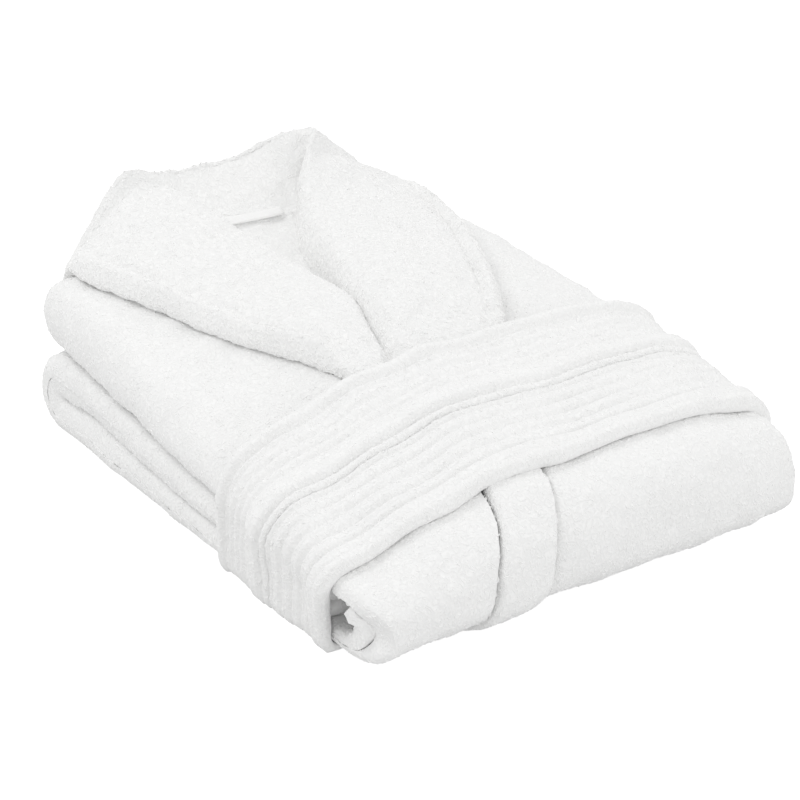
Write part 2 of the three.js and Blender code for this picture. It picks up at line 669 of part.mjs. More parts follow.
// ---- hanger loop ------------------------------------------------------------------------------
// A tape sewn on at the neck seam, lying on the slope of the stand.
function hangerLoop() {
  const slope = (STAND_TOP_Z - STAND_FOOT_Z) / (STAND_TOP_Y - STAND_FOOT_Y);
  const run = 1 / Math.hypot(1, slope);
  const rows = [1.5, 1.5 + HANGER_WIDTH];
  const at = (lift) => (along, column) => {
    const x = HANGER_X + lerp(-0.5, 0.5, column / 3) * HANGER_LENGTH;
    const y = STAND_FOOT_Y + along * run - lift * slope * run;
    const z = STAND_FOOT_Z + along * slope * run + lift * run;
    return new THREE.Vector3(x, y, z);
  };
  return sheet(rows, 4, at(PLY_GAP), at(PLY_GAP + HANGER_THICKNESS));
}
piece("hanger_loop", hangerLoop());

// ---- belt -------------------------------------------------------------------------------------
// The inner outline of the belt round the pile at y, from the slit under the pile, round the left
// side, over the top and round the right side, back to the slit.
const BELT_CORNER = 6;
const SLIT = 0.5;

function beltInner(y, airTop) {
  const right = rightSide() - BELT_AIR;
  const left = leftSide(y) + BELT_AIR;
  const shoulder = (x) => {
    const inset = Math.min(x - right, left - x);
    const z = lerp(sideMiddle(y), pileTop(y), rounded(inset, EDGE_ROUND));
    return settle(x, y, z).z + BELT_AIR + airTop * rounded(inset, EDGE_ROUND);
  };
  const outline = [];
  const add = (x, z) => outline.push(new THREE.Vector3(x, y, z));
  const corner = (x, turn) =>
    steps(0, Math.PI / 2, 3).map((a) => [
      x + turn * BELT_CORNER * (Math.sin(a) - 1),
      BELT_UNDER + BELT_CORNER * (1 - Math.cos(a)),
    ]);
  steps(SLIT, left - BELT_CORNER, 5).slice(0, -1).forEach((x) => add(x, BELT_UNDER));
  corner(left, 1).forEach(([x, z]) => add(x, z));
  add(left, shoulder(left) * 0.6);
  const over = [0, 1.2, 4.5, 9, EDGE_ROUND];
  over.forEach((inset) => add(left - inset, shoulder(left - inset)));
  steps(left - EDGE_ROUND, right + EDGE_ROUND, 12).slice(1, -1).forEach((x) => add(x, shoulder(x)));
  over.reverse().forEach((inset) => add(right + inset, shoulder(right + inset)));
  add(right, shoulder(right) * 0.6);
  corner(right, -1).reverse().forEach(([x, z]) => add(x, z));
  steps(right + BELT_CORNER, -SLIT, 5).slice(1).forEach((x) => add(x, BELT_UNDER));
  return outline;
}

// The outer face is the inner one moved out by the belt's thickness, and level on the shelf.
function beltOuter(inner, thickness) {
  return inner.map((p, i) => {
    const before = inner[Math.max(i - 1, 0)];
    const after = inner[Math.min(i + 1, inner.length - 1)];
    const along = after.clone().sub(before).normalize();
    const moved = p.clone().add(new THREE.Vector3(along.z, 0, -along.x).multiplyScalar(thickness));
    return moved.setZ(Math.max(0, moved.z));
  });
}

function beltTurn(rearY, frontY, proud) {
  const rows = steps(rearY, frontY, 4);
  const tipRoom = (y) => TIP_ROOM * smooth(BELT_REAR_Y - TIP_REACH - 14, BELT_REAR_Y - 6, y);
  const inner = rows.map((y) => beltInner(y, tipRoom(y)));
  const outer = inner.map((ring, i) => {
    const edge = i === 0 || i === rows.length - 1;
    return beltOuter(ring, edge ? BELT_THICKNESS + proud - 1.5 : BELT_THICKNESS + proud);
  });
  const index = rows.map((_, i) => i);
  const at = (rings) => (row, column) => rings[row][column];
  return sheet(index, inner[0].length, at(inner), at(outer));
}
const beltMiddleY = BELT_REAR_Y - BELT_WIDTH;
piece("belt_rear_turn", beltTurn(BELT_REAR_Y, beltMiddleY + PLY_GAP / 2, 0.8));
piece("belt_front_turn", beltTurn(beltMiddleY - PLY_GAP / 2, beltMiddleY - BELT_WIDTH, 0));

// ---- origin under the middle of the pile --------------------------------------------------------
const box = new THREE.Box3().setFromObject(robe);
const middle = box.getCenter(new THREE.Vector3());
robe.position.set(-middle.x, -middle.y, -box.min.z);

export default robe;
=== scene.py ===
import math

import bpy
import numpy as np
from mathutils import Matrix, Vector


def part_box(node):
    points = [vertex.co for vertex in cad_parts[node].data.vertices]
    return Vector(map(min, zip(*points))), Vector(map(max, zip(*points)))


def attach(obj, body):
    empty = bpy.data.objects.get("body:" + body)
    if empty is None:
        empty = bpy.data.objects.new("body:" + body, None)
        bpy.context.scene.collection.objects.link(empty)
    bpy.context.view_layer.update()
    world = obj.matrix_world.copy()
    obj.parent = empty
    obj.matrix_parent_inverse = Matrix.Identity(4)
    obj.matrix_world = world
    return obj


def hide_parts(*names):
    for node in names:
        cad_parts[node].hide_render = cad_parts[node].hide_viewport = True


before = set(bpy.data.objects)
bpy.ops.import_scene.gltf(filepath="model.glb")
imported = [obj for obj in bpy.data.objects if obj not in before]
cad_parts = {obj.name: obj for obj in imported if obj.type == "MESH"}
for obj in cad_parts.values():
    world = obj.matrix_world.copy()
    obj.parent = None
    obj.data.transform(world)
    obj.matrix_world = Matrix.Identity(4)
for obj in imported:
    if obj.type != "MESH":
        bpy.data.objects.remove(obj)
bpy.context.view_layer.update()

# ---- view, floor and light ------------
# The folded robe lies on a plain white sweep in a bright tent of light. A soft lamp at the upper
# left and a weaker one in front make white terry show its folds.
VIEW_TARGET = Vector((0.0025, -0.0061, 0.050))
VIEW_AZIMUTH = math.radians(-34.6)
VIEW_ELEVATION = math.radians(25.2)
VIEW_DISTANCE = 1.608
LENS = 103.5

camera = bpy.data.objects.new("view", bpy.data.cameras.new("view"))
bpy.context.collection.objects.link(camera)
back = Vector((
    math.sin(VIEW_AZIMUTH) * math.cos(VIEW_ELEVATION),
    -math.cos(VIEW_AZIMUTH) * math.cos(VIEW_ELEVATION),
    math.sin(VIEW_ELEVATION),
))
camera.location = VIEW_TARGET + back * VIEW_DISTANCE
camera.rotation_euler = (-back).to_track_quat("-Z", "Y").to_euler()
camera.data.lens = LENS
camera.data.sensor_width = 36
camera.data.clip_start = 0.05
bpy.context.scene.camera = camera
bpy.context.scene.view_settings.view_transform = "Standard"

TENT_TOP = 0.915
TENT_LEVEL = 0.76
SEEN_WHITE = 1.05
LAMP_AIM = Vector((0, 0, 0.05))
SWEEP_SIZE = 12
SWEEP_GREY = 0.62
SWEEP_GLOW = 0.15
SWEEP_SEEN_GLOW = 0.6


def wire(tree, node, inputs=()):
    """Gives a node, or a new one of the named kind, its inputs: values or other nodes' outputs."""
    if isinstance(node, str):
        node = tree.nodes.new(node)
    for name, value in dict(inputs).items():
        if isinstance(value, bpy.types.NodeSocket):
            tree.links.new(value, node.inputs[name])
        else:
            node.inputs[name].default_value = value
    return node


def maths(tree, operation, *values):
    """The output of a new Math node that works on values or on other nodes' outputs."""
    node = tree.nodes.new("ShaderNodeMath")
    node.operation = operation
    return wire(tree, node, enumerate(values)).outputs[0]


def tent():
    """The lit tent: brightest overhead, and plain white where the camera sees it."""
    world = bpy.data.worlds.new("tent")
    world.use_nodes = True
    tree = world.node_tree
    place = wire(tree, "ShaderNodeTexCoord").outputs["Generated"]
    height = wire(tree, "ShaderNodeSeparateXYZ", {"Vector": place}).outputs["Z"]
    level = wire(tree, "ShaderNodeMapRange", {"Value": height, "To Min": TENT_LEVEL, "To Max": TENT_TOP})
    seen = wire(tree, "ShaderNodeLightPath").outputs["Is Camera Ray"]
    strength = wire(tree, "ShaderNodeMix", {"Factor": seen, "A": level.outputs["Result"], "B": SEEN_WHITE})
    wire(tree, tree.nodes["Background"], {"Color": (1, 1, 1, 1), "Strength": strength.outputs["Result"]})
    return world


bpy.context.scene.world = tent()


def softbox(name, place, size, power):
    """A round soft lamp aimed at the pile."""
    light = bpy.data.lights.new(name, "AREA")
    light.shape = "DISK"
    light.size = size
    light.energy = power
    holder = bpy.data.objects.new(name, light)
    holder.location = place
    holder.rotation_euler = (Vector(place) - LAMP_AIM).to_track_quat("Z", "Y").to_euler()
    bpy.context.collection.objects.link(holder)


softbox("key", (-0.9, 0.5, 1.5), size=0.7, power=4)
softbox("front", (0.9, -1.6, 0.7), size=0.9, power=3)

bpy.ops.mesh.primitive_plane_add(size=SWEEP_SIZE)
floor = bpy.context.object
floor.name = "sweep"


def white_paper():
    """A pale sweep that glows where the camera sees it, so that it burns out to white."""
    paper = bpy.data.materials.new("white_paper")
    paper.use_nodes = True
    tree = paper.node_tree
    seen = wire(tree, "ShaderNodeLightPath").outputs["Is Camera Ray"]
    wire(tree, tree.nodes["Principled BSDF"], {
        "Base Color": (SWEEP_GREY, SWEEP_GREY, SWEEP_GREY, 1),
        "Roughness": 0.9,
        "Specular IOR Level": 0.1,
        "Emission Color": (1, 1, 1, 1),
        "Emission Strength": maths(tree, "MULTIPLY_ADD", seen, SWEEP_SEEN_GLOW, SWEEP_GLOW),
    })
    return paper


floor.data.materials.append(white_paper())

# ---- back panel ------------
# The back of the robe: one long width of cotton terry, about 13 mm thick in its folded double
# layers. It lies under the chest, rolls round the front, runs back on the shelf and turns in again.
MM = 0.001
RIGHT_SIDE = 177.0
LEFT_SIDE_NECK = 180.0
LEFT_SIDE_FRONT = 166.0
NECK_Y = 208.0
ROLL_Y = -190.0
ROLL_BULGE = 38.0
ROLL_CORE = 13.0
ROLL_FULL = 9.0
ROLL_SQUARE = 0.78
ROLL_TAPER = 0.2
TAPER_FROM_X = 118.0
TAPER_TO_X = 168.0
TURN_Y = 178.0
TURN_BULGE = 32.0
HEM_Y = -180.0
PILE_NECK = 120.0
PILE_FRONT = 79.0
SKIRT_NECK = 31.0
SKIRT_FRONT = 24.0
HEM_NECK = 63.0
HEM_FRONT = 50.0
CHEST_THICKNESS = 28.0
SWELL = 2.6
PLY_GAP = 0.6
DEPTH_GAP = 0.034
EDGE_ROUND = 15.0
SIDE_WRAP = 23.0
RECESS = 4.4
RECESS_Y = -50.0
SLOPE_RIGHT_X = -20.0
SLOPE_LEFT_X = 80.0
DROP_NECK = 0.06
DROP_FRONT = 0.38
DROP_LEFT = 0.14
CLOTH_FLOOR = 0.05
PILE_FLOOR = 4.5
SHARP_ANGLE = 58
# The fold's own axes start under the neck seam; the frame's start under the middle of the pile.
CORNER_LOW, CORNER_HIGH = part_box("right_front_panel")
FOLD_ORIGIN = np.array([CORNER_LOW.x / MM + RIGHT_SIDE, CORNER_HIGH.y / MM - TURN_Y - TURN_BULGE, 0])


def lerp(a, b, t):
    return a + (b - a) * t


def clamp(t):
    return np.clip(t, 0.0, 1.0)


def smooth(start, end, t):
    share = clamp((t - start) / (end - start))
    return share * share * (3 - 2 * share)


def rounded(distance, radius):
    return np.sqrt(1 - (1 - clamp(distance / radius)) ** 2)


def chart(pairs):
    keys, values = zip(*pairs)
    return lambda key: np.interp(key, keys, values)


def left_side(y):
    return lerp(LEFT_SIDE_FRONT, LEFT_SIDE_NECK, clamp((y - ROLL_Y) / (NECK_Y - ROLL_Y)))


def swell(y):
    return 1 - clamp((NECK_Y - y) / (NECK_Y - ROLL_Y)) ** SWELL


def pile_top(y):
    return lerp(PILE_FRONT, PILE_NECK, swell(y))


def chest_under(y):
    return pile_top(y) - CHEST_THICKNESS


def hem_top(y):
    return lerp(HEM_FRONT, HEM_NECK, swell(y))


def skirt_top(y):
    return lerp(SKIRT_FRONT, SKIRT_NECK, swell(y))


def side_middle(y):
    return (hem_top(y) + pile_top(y)) / 2


def settle(x, y, z):
    """Places a point of the full-height pile where the sloping pile has it."""
    right = clamp((SLOPE_RIGHT_X - x) / (SLOPE_RIGHT_X + RIGHT_SIDE))
    left = clamp((x - SLOPE_LEFT_X) / (LEFT_SIDE_FRONT - SLOPE_LEFT_X))
    drop = lerp(DROP_NECK, DROP_FRONT, smooth(188, -58, y))
    fullness = 1 - drop * right ** 1.4 - DROP_LEFT * left ** 2
    x, y, z = np.broadcast_arrays(x, y, np.where(z > RECESS, RECESS + (z - RECESS) * fullness, z))
    return np.stack([x, y, z], axis=-1).astype(float)


def cloth(station, x, depth):
    """A point of the folded cloth: 0-1 chest, 1-2 roll, 2-3 skirt, 3-4 turn, 4-5 hem."""
    station, x, depth = np.broadcast_arrays(station * 1.0, x * 1.0, depth * 1.0)
    part = np.minimum(np.floor(station), 4)
    t = station - part
    turn = np.pi * t
    plump = lerp(1, ROLL_SQUARE, clamp(depth))
    taper = 1 - ROLL_TAPER * smooth(TAPER_FROM_X, TAPER_TO_X, x)
    bulge = (ROLL_BULGE + ROLL_FULL * smooth(0.15, 0.7, t)) * taper
    rise = np.sign(np.cos(turn)) * np.abs(np.cos(turn)) ** plump
    chest_y = lerp(NECK_Y, ROLL_Y, t)
    roll_low = lerp(skirt_top(ROLL_Y), RECESS, depth)
    roll_high = lerp(chest_under(ROLL_Y), pile_top(ROLL_Y), depth)
    skirt_y = lerp(ROLL_Y, TURN_Y, t)
    inner = skirt_top(TURN_Y)
    turn_low = lerp(inner, 0, depth)
    turn_high = lerp(inner + PLY_GAP, hem_top(TURN_Y), depth)
    hem_y = lerp(TURN_Y, HEM_Y, t)
    on = [part == k for k in range(5)]
    y = np.select(on, [
        chest_y,
        ROLL_Y - lerp(ROLL_CORE, bulge, depth) * np.abs(np.sin(turn)) ** plump,
        skirt_y,
        TURN_Y + lerp(PLY_GAP / 2, TURN_BULGE, depth) * np.sin(turn),
        hem_y,
    ])
    z = np.select(on, [
        lerp(chest_under(chest_y), pile_top(chest_y), depth),
        (roll_high + roll_low) / 2 + (roll_high - roll_low) / 2 * rise,
        lerp(skirt_top(skirt_y), np.where(skirt_y < RECESS_Y, RECESS, 0), depth),
        (turn_high + turn_low) / 2 - (turn_high - turn_low) / 2 * np.cos(turn),
        lerp(skirt_top(hem_y) + PLY_GAP, hem_top(hem_y), depth),
    ])
    return settle(x, y, z)


def chest_station(y):
    return (NECK_Y - y) / (NECK_Y - ROLL_Y)


def skirt_station(y):
    return 2 + (y - ROLL_Y) / (TURN_Y - ROLL_Y)


def hem_station(y):
    return 4 + (TURN_Y - y) / (TURN_Y - HEM_Y)


def y_at(station):
    return cloth(station, 0, 1)[..., 1]


def ripple(points, wavelength, seed, waves=14):
    """A smooth random field, about -1 to 1, as a sum of waves in all directions."""
    random = np.random.default_rng(seed)
    way = random.normal(size=(waves, 3))
    way /= np.linalg.norm(way, axis=1, keepdims=True)
    length = wavelength * random.uniform(0.7, 1.5, waves)
    phase = random.uniform(0, 2 * np.pi, waves)
    return np.sin(points @ (way * (2 * np.pi / length[:, None])).T + phase).sum(-1) / math.sqrt(waves)


def ease(points):
    """The soft unevenness of the whole folded pile, the same for every piece at a place."""
    lift = clamp(points[..., 2] / 14)
    wander = np.stack([
        1.0 * ripple(points, 130, 11) + 0.7 * ripple(points, 48, 14),
        1.2 * ripple(points, 120, 12) + 0.7 * ripple(points, 44, 15),
        (1.4 * ripple(points, 115, 13) + 0.9 * ripple(points, 42, 16)) * lift,
    ], axis=-1)
    return points + wander


def rim(low, high, radius, rows=(True, True), columns=(True, True), meet=0.5):
    """Brings the two faces of a sheet together in a round edge along its chosen borders."""
    middle = lerp(low, high, meet)
    keep = np.ones(low.shape[:2])
    for axis, ends in ((0, rows), (1, columns)):
        step = np.linalg.norm(np.diff(middle, axis=axis), axis=-1)
        pad = [(0, 0), (0, 0)]
        pad[axis] = (1, 0)
        from_start = np.pad(np.cumsum(step, axis=axis), pad)
        from_end = np.take(from_start, [-1], axis=axis) - from_start
        for distance, wanted in ((from_start, ends[0]), (from_end, ends[1])):
            if wanted:
                keep = np.minimum(keep, rounded(distance, radius))
    keep = np.maximum(keep, 0.08)[..., None]
    return middle + (low - middle) * keep, middle + (high - middle) * keep


def surface(name, points, faces, pile=None):
    """A smooth mesh object in metres from points in the fold's millimetres, faces outwards."""
    corners = points[faces]
    volume = np.einsum("ij,ij->i", corners[:, 0], np.cross(corners[:, 1], corners[:, 2])).sum()
    volume += np.einsum("ij,ij->i", corners[:, 0], np.cross(corners[:, 2], corners[:, 3])).sum()
    if volume < 0:
        faces = faces[:, ::-1]
    mesh = bpy.data.meshes.new(name)
    mesh.vertices.add(len(points))
    mesh.vertices.foreach_set("co", ((points + FOLD_ORIGIN) * MM).astype(np.float32).ravel())
    mesh.loops.add(faces.size)
    mesh.loops.foreach_set("vertex_index", faces.astype(np.int32).ravel())
    mesh.polygons.add(len(faces))
    mesh.polygons.foreach_set("loop_start", np.arange(0, faces.size, 4, dtype=np.int32))
    mesh.update(calc_edges=True)
    mesh.polygons.foreach_set("use_smooth", np.ones(len(faces), dtype=bool))
    mesh.set_sharp_from_angle(angle=math.radians(SHARP_ANGLE))
    if pile is not None:
        mesh.attributes.new("pile", "FLOAT", "POINT").data.foreach_set("value", pile.astype(np.float32))
    piece = bpy.data.objects.new(name, mesh)
    bpy.context.collection.objects.link(piece)
    return piece


def sheet_mesh(name, low, high, pile_low=0.0, pile_high=1.0, lump=0.35):
    """A closed sheet between two grids of points, with its pile's small lumps."""
    rows, columns = low.shape[:2]
    count = rows * columns
    index = np.arange(count).reshape(rows, columns)

    def quads(grid):
        return np.stack([grid[:-1, :-1], grid[:-1, 1:], grid[1:, 1:], grid[1:, :-1]], -1).reshape(-1, 4)

    def wall(line):
        return np.stack([line[:-1], line[:-1] + count, line[1:] + count, line[1:]], -1)

    faces = np.concatenate([
        quads(index)[:, ::-1],
        quads(index + count),
        wall(index[0])[:, ::-1],
        wall(index[-1]),
        wall(index[:, 0]),
        wall(index[:, -1])[:, ::-1],
    ])
    points = ease(np.concatenate([low.reshape(-1, 3), high.reshape(-1, 3)]))
    middle = (low.reshape(-1, 3) + high.reshape(-1, 3)) / 2
    out = np.concatenate([low.reshape(-1, 3) - middle, high.reshape(-1, 3) - middle])
    out /= np.maximum(np.linalg.norm(out, axis=1, keepdims=True), 2.0)
    lumps = lump * (0.9 * ripple(points, 17, 21) + 0.7 * ripple(points, 8, 22, 24))
    points = points + out * lumps[:, None]
    points[:, 2] = np.maximum(points[:, 2], CLOTH_FLOOR)
    pile = np.concatenate([
        np.broadcast_to(pile_low, (rows, columns)).ravel(),
        np.broadcast_to(pile_high, (rows, columns)).ravel(),
    ])
    return surface(name, points, faces, np.where(points[:, 2] > PILE_FLOOR, pile, 0))


def line_up(*stretches):
    """Stations or insets one after another: (from, to, steps) for each stretch."""
    runs = [np.linspace(start, end, count + 1)[:-1] for start, end, count in stretches]
    return np.concatenate(runs + [[stretches[-1][1]]])


HEM_BAND = 32.0
PANEL_END = hem_station(HEM_Y + HEM_BAND + PLY_GAP)
EDGE_STEPS = [0, 0.2, 0.7, 1.5, 2.7, 4.4, 6.5, 9]
PANEL_ROWS = np.concatenate([
    chest_station(NECK_Y - np.array(EDGE_STEPS)),
    line_up(
        (chest_station(196), chest_station(ROLL_Y + 3), 125),
        (1, 2, 40),
        (skirt_station(ROLL_Y + 6), skirt_station(TURN_Y - 3), 56),
        (3, 4, 34),
        (hem_station(TURN_Y - 3), PANEL_END, 44),
    ),
])


def yarn_height_and_painted_shade():
    """Node group: cotton loops seen close, as a height and a colour that follows it: painted light on the
    curls' tops and painted shade in the dips between them, with random paler and darker patches.
    """
    tree = bpy.data.node_groups.new("terry_yarn", "ShaderNodeTree")
    socket = tree.interface.new_socket
    for name, kind, start in (
        ("Scale", "NodeSocketFloat", 190.0),
        ("Light", "NodeSocketColor", (0.96, 0.96, 0.955, 1)),
        ("Shade", "NodeSocketColor", (0.90, 0.90, 0.895, 1)),
    ):
        socket(name, in_out="INPUT", socket_type=kind).default_value = start
    socket("Tint", in_out="OUTPUT", socket_type="NodeSocketColor")
    socket("Height", in_out="OUTPUT", socket_type="NodeSocketFloat")
    socket("Rough", in_out="OUTPUT", socket_type="NodeSocketFloat")
    given = wire(tree, "NodeGroupInput").outputs
    place = wire(tree, "ShaderNodeTexCoord").outputs["Object"]

    def noise(scale, offset=0.0):
        made = tree.nodes.new("ShaderNodeTexNoise")
        made.noise_dimensions = "4D"
        return wire(tree, made, {"Vector": place, "W": offset, "Scale": scale, "Detail": 1.0}).outputs["Fac"]

    # level lines of one noise curl like yarn; a second noise cuts them into short loops
    line = maths(tree, "SINE", maths(tree, "MULTIPLY", noise(given["Scale"]), 34.0))
    wide = maths(tree, "MULTIPLY", given["Scale"], 1.7)
    cut = maths(tree, "SINE", maths(tree, "MULTIPLY", noise(wide, 4.0), 17.0))
    curls = maths(tree, "MULTIPLY_ADD", line, 0.5, 0.5)
    short = maths(tree, "MULTIPLY_ADD", cut, 0.35, 0.65)
    fuzz = noise(maths(tree, "MULTIPLY", given["Scale"], 7.0), 9.0)
    height = maths(tree, "MULTIPLY_ADD", fuzz, 0.3, maths(tree, "MULTIPLY", curls, short))
    patch = wire(tree, "ShaderNodeTexNoise", {"Vector": place, "Scale": 26.0, "Detail": 3.0})
    worn = maths(tree, "MULTIPLY_ADD", patch.outputs["Fac"], 0.5, -0.25)
    # the colour is painted shade: the Shade colour where the height is low between the curls, the Light
    # colour on their tops, moved a little by random patches of tone
    painted_shade_and_tone = tree.nodes.new("ShaderNodeMix")
    painted_shade_and_tone.data_type = "RGBA"
    painted_shade_and_tone.clamp_factor = True
    wire(tree, painted_shade_and_tone, {"Factor": maths(tree, "ADD", height, worn), "A": given["Shade"], "B": given["Light"]})
    rough = wire(tree, "ShaderNodeMapRange", {"Value": curls, "To Min": 0.86, "To Max": 1.0})
    wire(tree, "NodeGroupOutput", {
        "Tint": painted_shade_and_tone.outputs["Result"],
        "Height": height,
        "Rough": rough.outputs["Result"],
    })
    return tree


YARN = yarn_height_and_painted_shade()


def terry(name, scale=165.0, depth=0.0005, strength=0.55, light=0.97, shade=0.91):
    """White cotton terry: matt yarn with a soft bloom at grazing angles, coloured with painted light on the
    curls and painted shade between them.
    """
    material = bpy.data.materials.new(name)
    material.use_nodes = True
    tree = material.node_tree
    group = tree.nodes.new("ShaderNodeGroup")
    group.node_tree = YARN
    yarn = wire(tree, group, {
        "Scale": scale,
        "Light": (light, light, light * 0.995, 1),
        "Shade": (shade, shade, shade * 0.995, 1),
    }).outputs
    bump = wire(tree, "ShaderNodeBump", {"Strength": strength, "Distance": depth, "Height": yarn["Height"]})
    wire(tree, tree.nodes["Principled BSDF"], {
        "Base Color": yarn["Tint"],
        "Roughness": yarn["Rough"],
        "Normal": bump.outputs["Normal"],
        "Specular IOR Level": 0.15,
        "Sheen Weight": 0.25,
        "Sheen Roughness": 0.5,
    })
    return material


BODY_TERRY = terry("body_terry")
# The standing loops get a paler copy of it, with less painted shade than the cloth beneath them.
LOOP_TERRY = terry("terry_loops", depth=0.0001, strength=0.05, light=0.98, shade=0.96)


def loop_tree():
    """Geometry nodes: short curled loops of yarn standing all over a cloth."""
    tree = bpy.data.node_groups.new("terry_loops", "GeometryNodeTree")
    socket = tree.interface.new_socket
    socket("Cloth", in_out="INPUT", socket_type="NodeSocketGeometry")
    for name, kind in (
        ("Loops per area", "NodeSocketFloat"),
        ("Loop length", "NodeSocketFloat"),
        ("Yarn radius", "NodeSocketFloat"),
        ("From", "NodeSocketFloat"),
        ("To", "NodeSocketFloat"),
        ("Seed", "NodeSocketInt"),
        ("Finish", "NodeSocketMaterial"),
    ):
        socket(name, in_out="INPUT", socket_type=kind)
    socket("Loops", in_out="OUTPUT", socket_type="NodeSocketGeometry")
    given = wire(tree, "NodeGroupInput").outputs
    where = tree.nodes.new("GeometryNodeInputNamedAttribute")
    where.data_type = "FLOAT"
    wire(tree, where, {"Name": "pile"})
    place = wire(tree, "GeometryNodeInputPosition").outputs["Position"]
    along = wire(tree, "ShaderNodeSeparateXYZ", {"Vector": place}).outputs["Y"]
    amount = given["Loops per area"]
    for test, limit in (("LESS_THAN", "To"), ("GREATER_THAN", "From")):
        amount = maths(tree, "MULTIPLY", amount, maths(tree, test, along, given[limit]))
    amount = maths(tree, "MULTIPLY", amount, where.outputs["Attribute"])
    roots = wire(tree, "GeometryNodeDistributePointsOnFaces", {
        "Mesh": given["Cloth"],
        "Density": amount,
        "Seed": given["Seed"],
    }).outputs
    shape = wire(tree, "GeometryNodeCurveQuadraticBezier", {"Resolution": 3})
    for end, offset in (
        ("Start", (-0.5, 0.0, -0.1)),
        ("Middle", (0.1, 0.7, 0.14)),
        ("End", (0.5, -0.1, -0.1)),
    ):
        point = tree.nodes.new("ShaderNodeVectorMath")
        point.operation = "SCALE"
        wire(tree, point, {0: offset, "Scale": given["Loop length"]})
        wire(tree, shape, {end: point.outputs["Vector"]})
    yarn = wire(tree, "GeometryNodeCurvePrimitiveCircle", {"Resolution": 3, "Radius": given["Yarn radius"]})
    loop = wire(tree, "GeometryNodeCurveToMesh", {
        "Curve": shape.outputs["Curve"],
        "Profile Curve": yarn.outputs["Curve"],
        "Fill Caps": True,
    })
    lean = tree.nodes.new("FunctionNodeRandomValue")
    lean.data_type = "FLOAT_VECTOR"
    wire(tree, lean, {"Min": (-0.2, -0.2, -math.pi), "Max": (0.2, 0.2, math.pi), "Seed": given["Seed"]})
    spin = wire(tree, "FunctionNodeEulerToRotation", {"Euler": lean.outputs["Value"]})
    turn = tree.nodes.new("FunctionNodeRotateRotation")
    turn.rotation_space = "LOCAL"
    wire(tree, turn, {"Rotation": roots["Rotation"], "Rotate By": spin.outputs["Rotation"]})
    size = tree.nodes.new("FunctionNodeRandomValue")
    size.data_type = "FLOAT"
    wire(tree, size, {"Min": 0.65, "Max": 1.25, "Seed": given["Seed"]})
    placed = wire(tree, "GeometryNodeInstanceOnPoints", {
        "Points": roots["Points"],
        "Instance": loop.outputs["Mesh"],
        "Rotation": turn.outputs["Rotation"],
        "Scale": size.outputs["Value"],
    })
    real = wire(tree, "GeometryNodeRealizeInstances", {"Geometry": placed.outputs["Instances"]})
    flat = wire(tree, "GeometryNodeSetShadeSmooth", {
        "Geometry": real.outputs["Geometry"],
        "Shade Smooth": False,
    })
    finish = wire(tree, "GeometryNodeSetMaterial", {
        "Geometry": flat.outputs["Geometry"],
        "Material": given["Finish"],
    })
    wire(tree, "NodeGroupOutput", {"Loops": finish.outputs["Geometry"]})
    return tree


LOOP_TREE = loop_tree()


def run_tree(piece, tree, name, settings):
    """The plain mesh that a node tree makes of a piece, as a new object."""
    stand_in = bpy.data.objects.new(name + "_run", piece.data)
    bpy.context.collection.objects.link(stand_in)
    modifier = stand_in.modifiers.new(name, "NODES")
    modifier.node_group = tree
    for item in tree.interface.items_tree:
        if item.in_out == "INPUT" and item.name in settings:
            modifier[item.identifier] = settings[item.name]
    stand_in.update_tag()
    graph = bpy.context.evaluated_depsgraph_get()
    made = bpy.data.meshes.new_from_object(stand_in.evaluated_get(graph))
    bpy.data.objects.remove(stand_in)
    result = bpy.data.objects.new(name, made)
    bpy.context.collection.objects.link(result)
    return result


def nap(piece, per_square_mm, length=2.9, thread=0.34, seed=1, cuts=()):
    """The loops that stand on a cloth, in one piece for each stretch between the cuts along Y."""
    limits = [-1000.0, *cuts, 1000.0]
    return [
        run_tree(piece, LOOP_TREE, f"{piece.name}_loops_{count + 1}", {
            "Loops per area": per_square_mm / MM ** 2,
            "Loop length": length * MM,
            "Yarn radius": thread * MM,
            "From": start * MM,
            "To": end * MM,
            "Seed": seed + 100 * count,
            "Finish": LOOP_TERRY,
        })
        for count, (start, end) in enumerate(zip(limits, limits[1:]))
    ]


def sew_in(piece, node, loops=(),
           body="robe", material=BODY_TERRY):
    """Gives a cloth its material and its place in the frame, and hides the part it stands for."""
    piece.data.materials.append(material)
    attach(piece, body)
    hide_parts(node)
    for tuft in loops:
        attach(tuft, body)


NECK_SOFT = 24.0
CHEST_SOFT = 19.0
SKIRT_SOFT = 9.0
ROLL_SOFT = 5.0
ROUND_POWER = 2.2
LEAST_SHARE = 0.006
ROLL_PULL = 8.0
SIDE_STEPS = np.array([0, 0.15, 0.5, 1.1, 2, 3.2, 4.8, 6.8, 9, 12, 15, 18.5, SIDE_WRAP - 0.5,
                       SIDE_WRAP + 2.5])
INSIDE = 1000.0  # an inset clear of the pile's sides


def side_soft(station):
    """How far in from the sides a layer is rounded: the loose chest most, the roll least."""
    rolled = smooth(0.82, 0.95, station) * (1 - smooth(2.15, 2.3, station))
    return lerp(lerp(CHEST_SOFT, SKIRT_SOFT, smooth(1, 1.2, station)), ROLL_SOFT, rolled)


def neck_end(station):
    """1 at the neck end, 0 where its rounding is over."""
    return 1 - clamp(np.where(station < 1, station * (NECK_Y - ROLL_Y), NECK_SOFT) / NECK_SOFT)


def edge_round(station, inset):
    """Share of the layer's thickness that is left near the neck end and the sides."""
    side = 1 - clamp(inset / side_soft(station))
    return np.sqrt(np.maximum(1 - neck_end(station) ** ROUND_POWER - side ** ROUND_POWER, LEAST_SHARE))


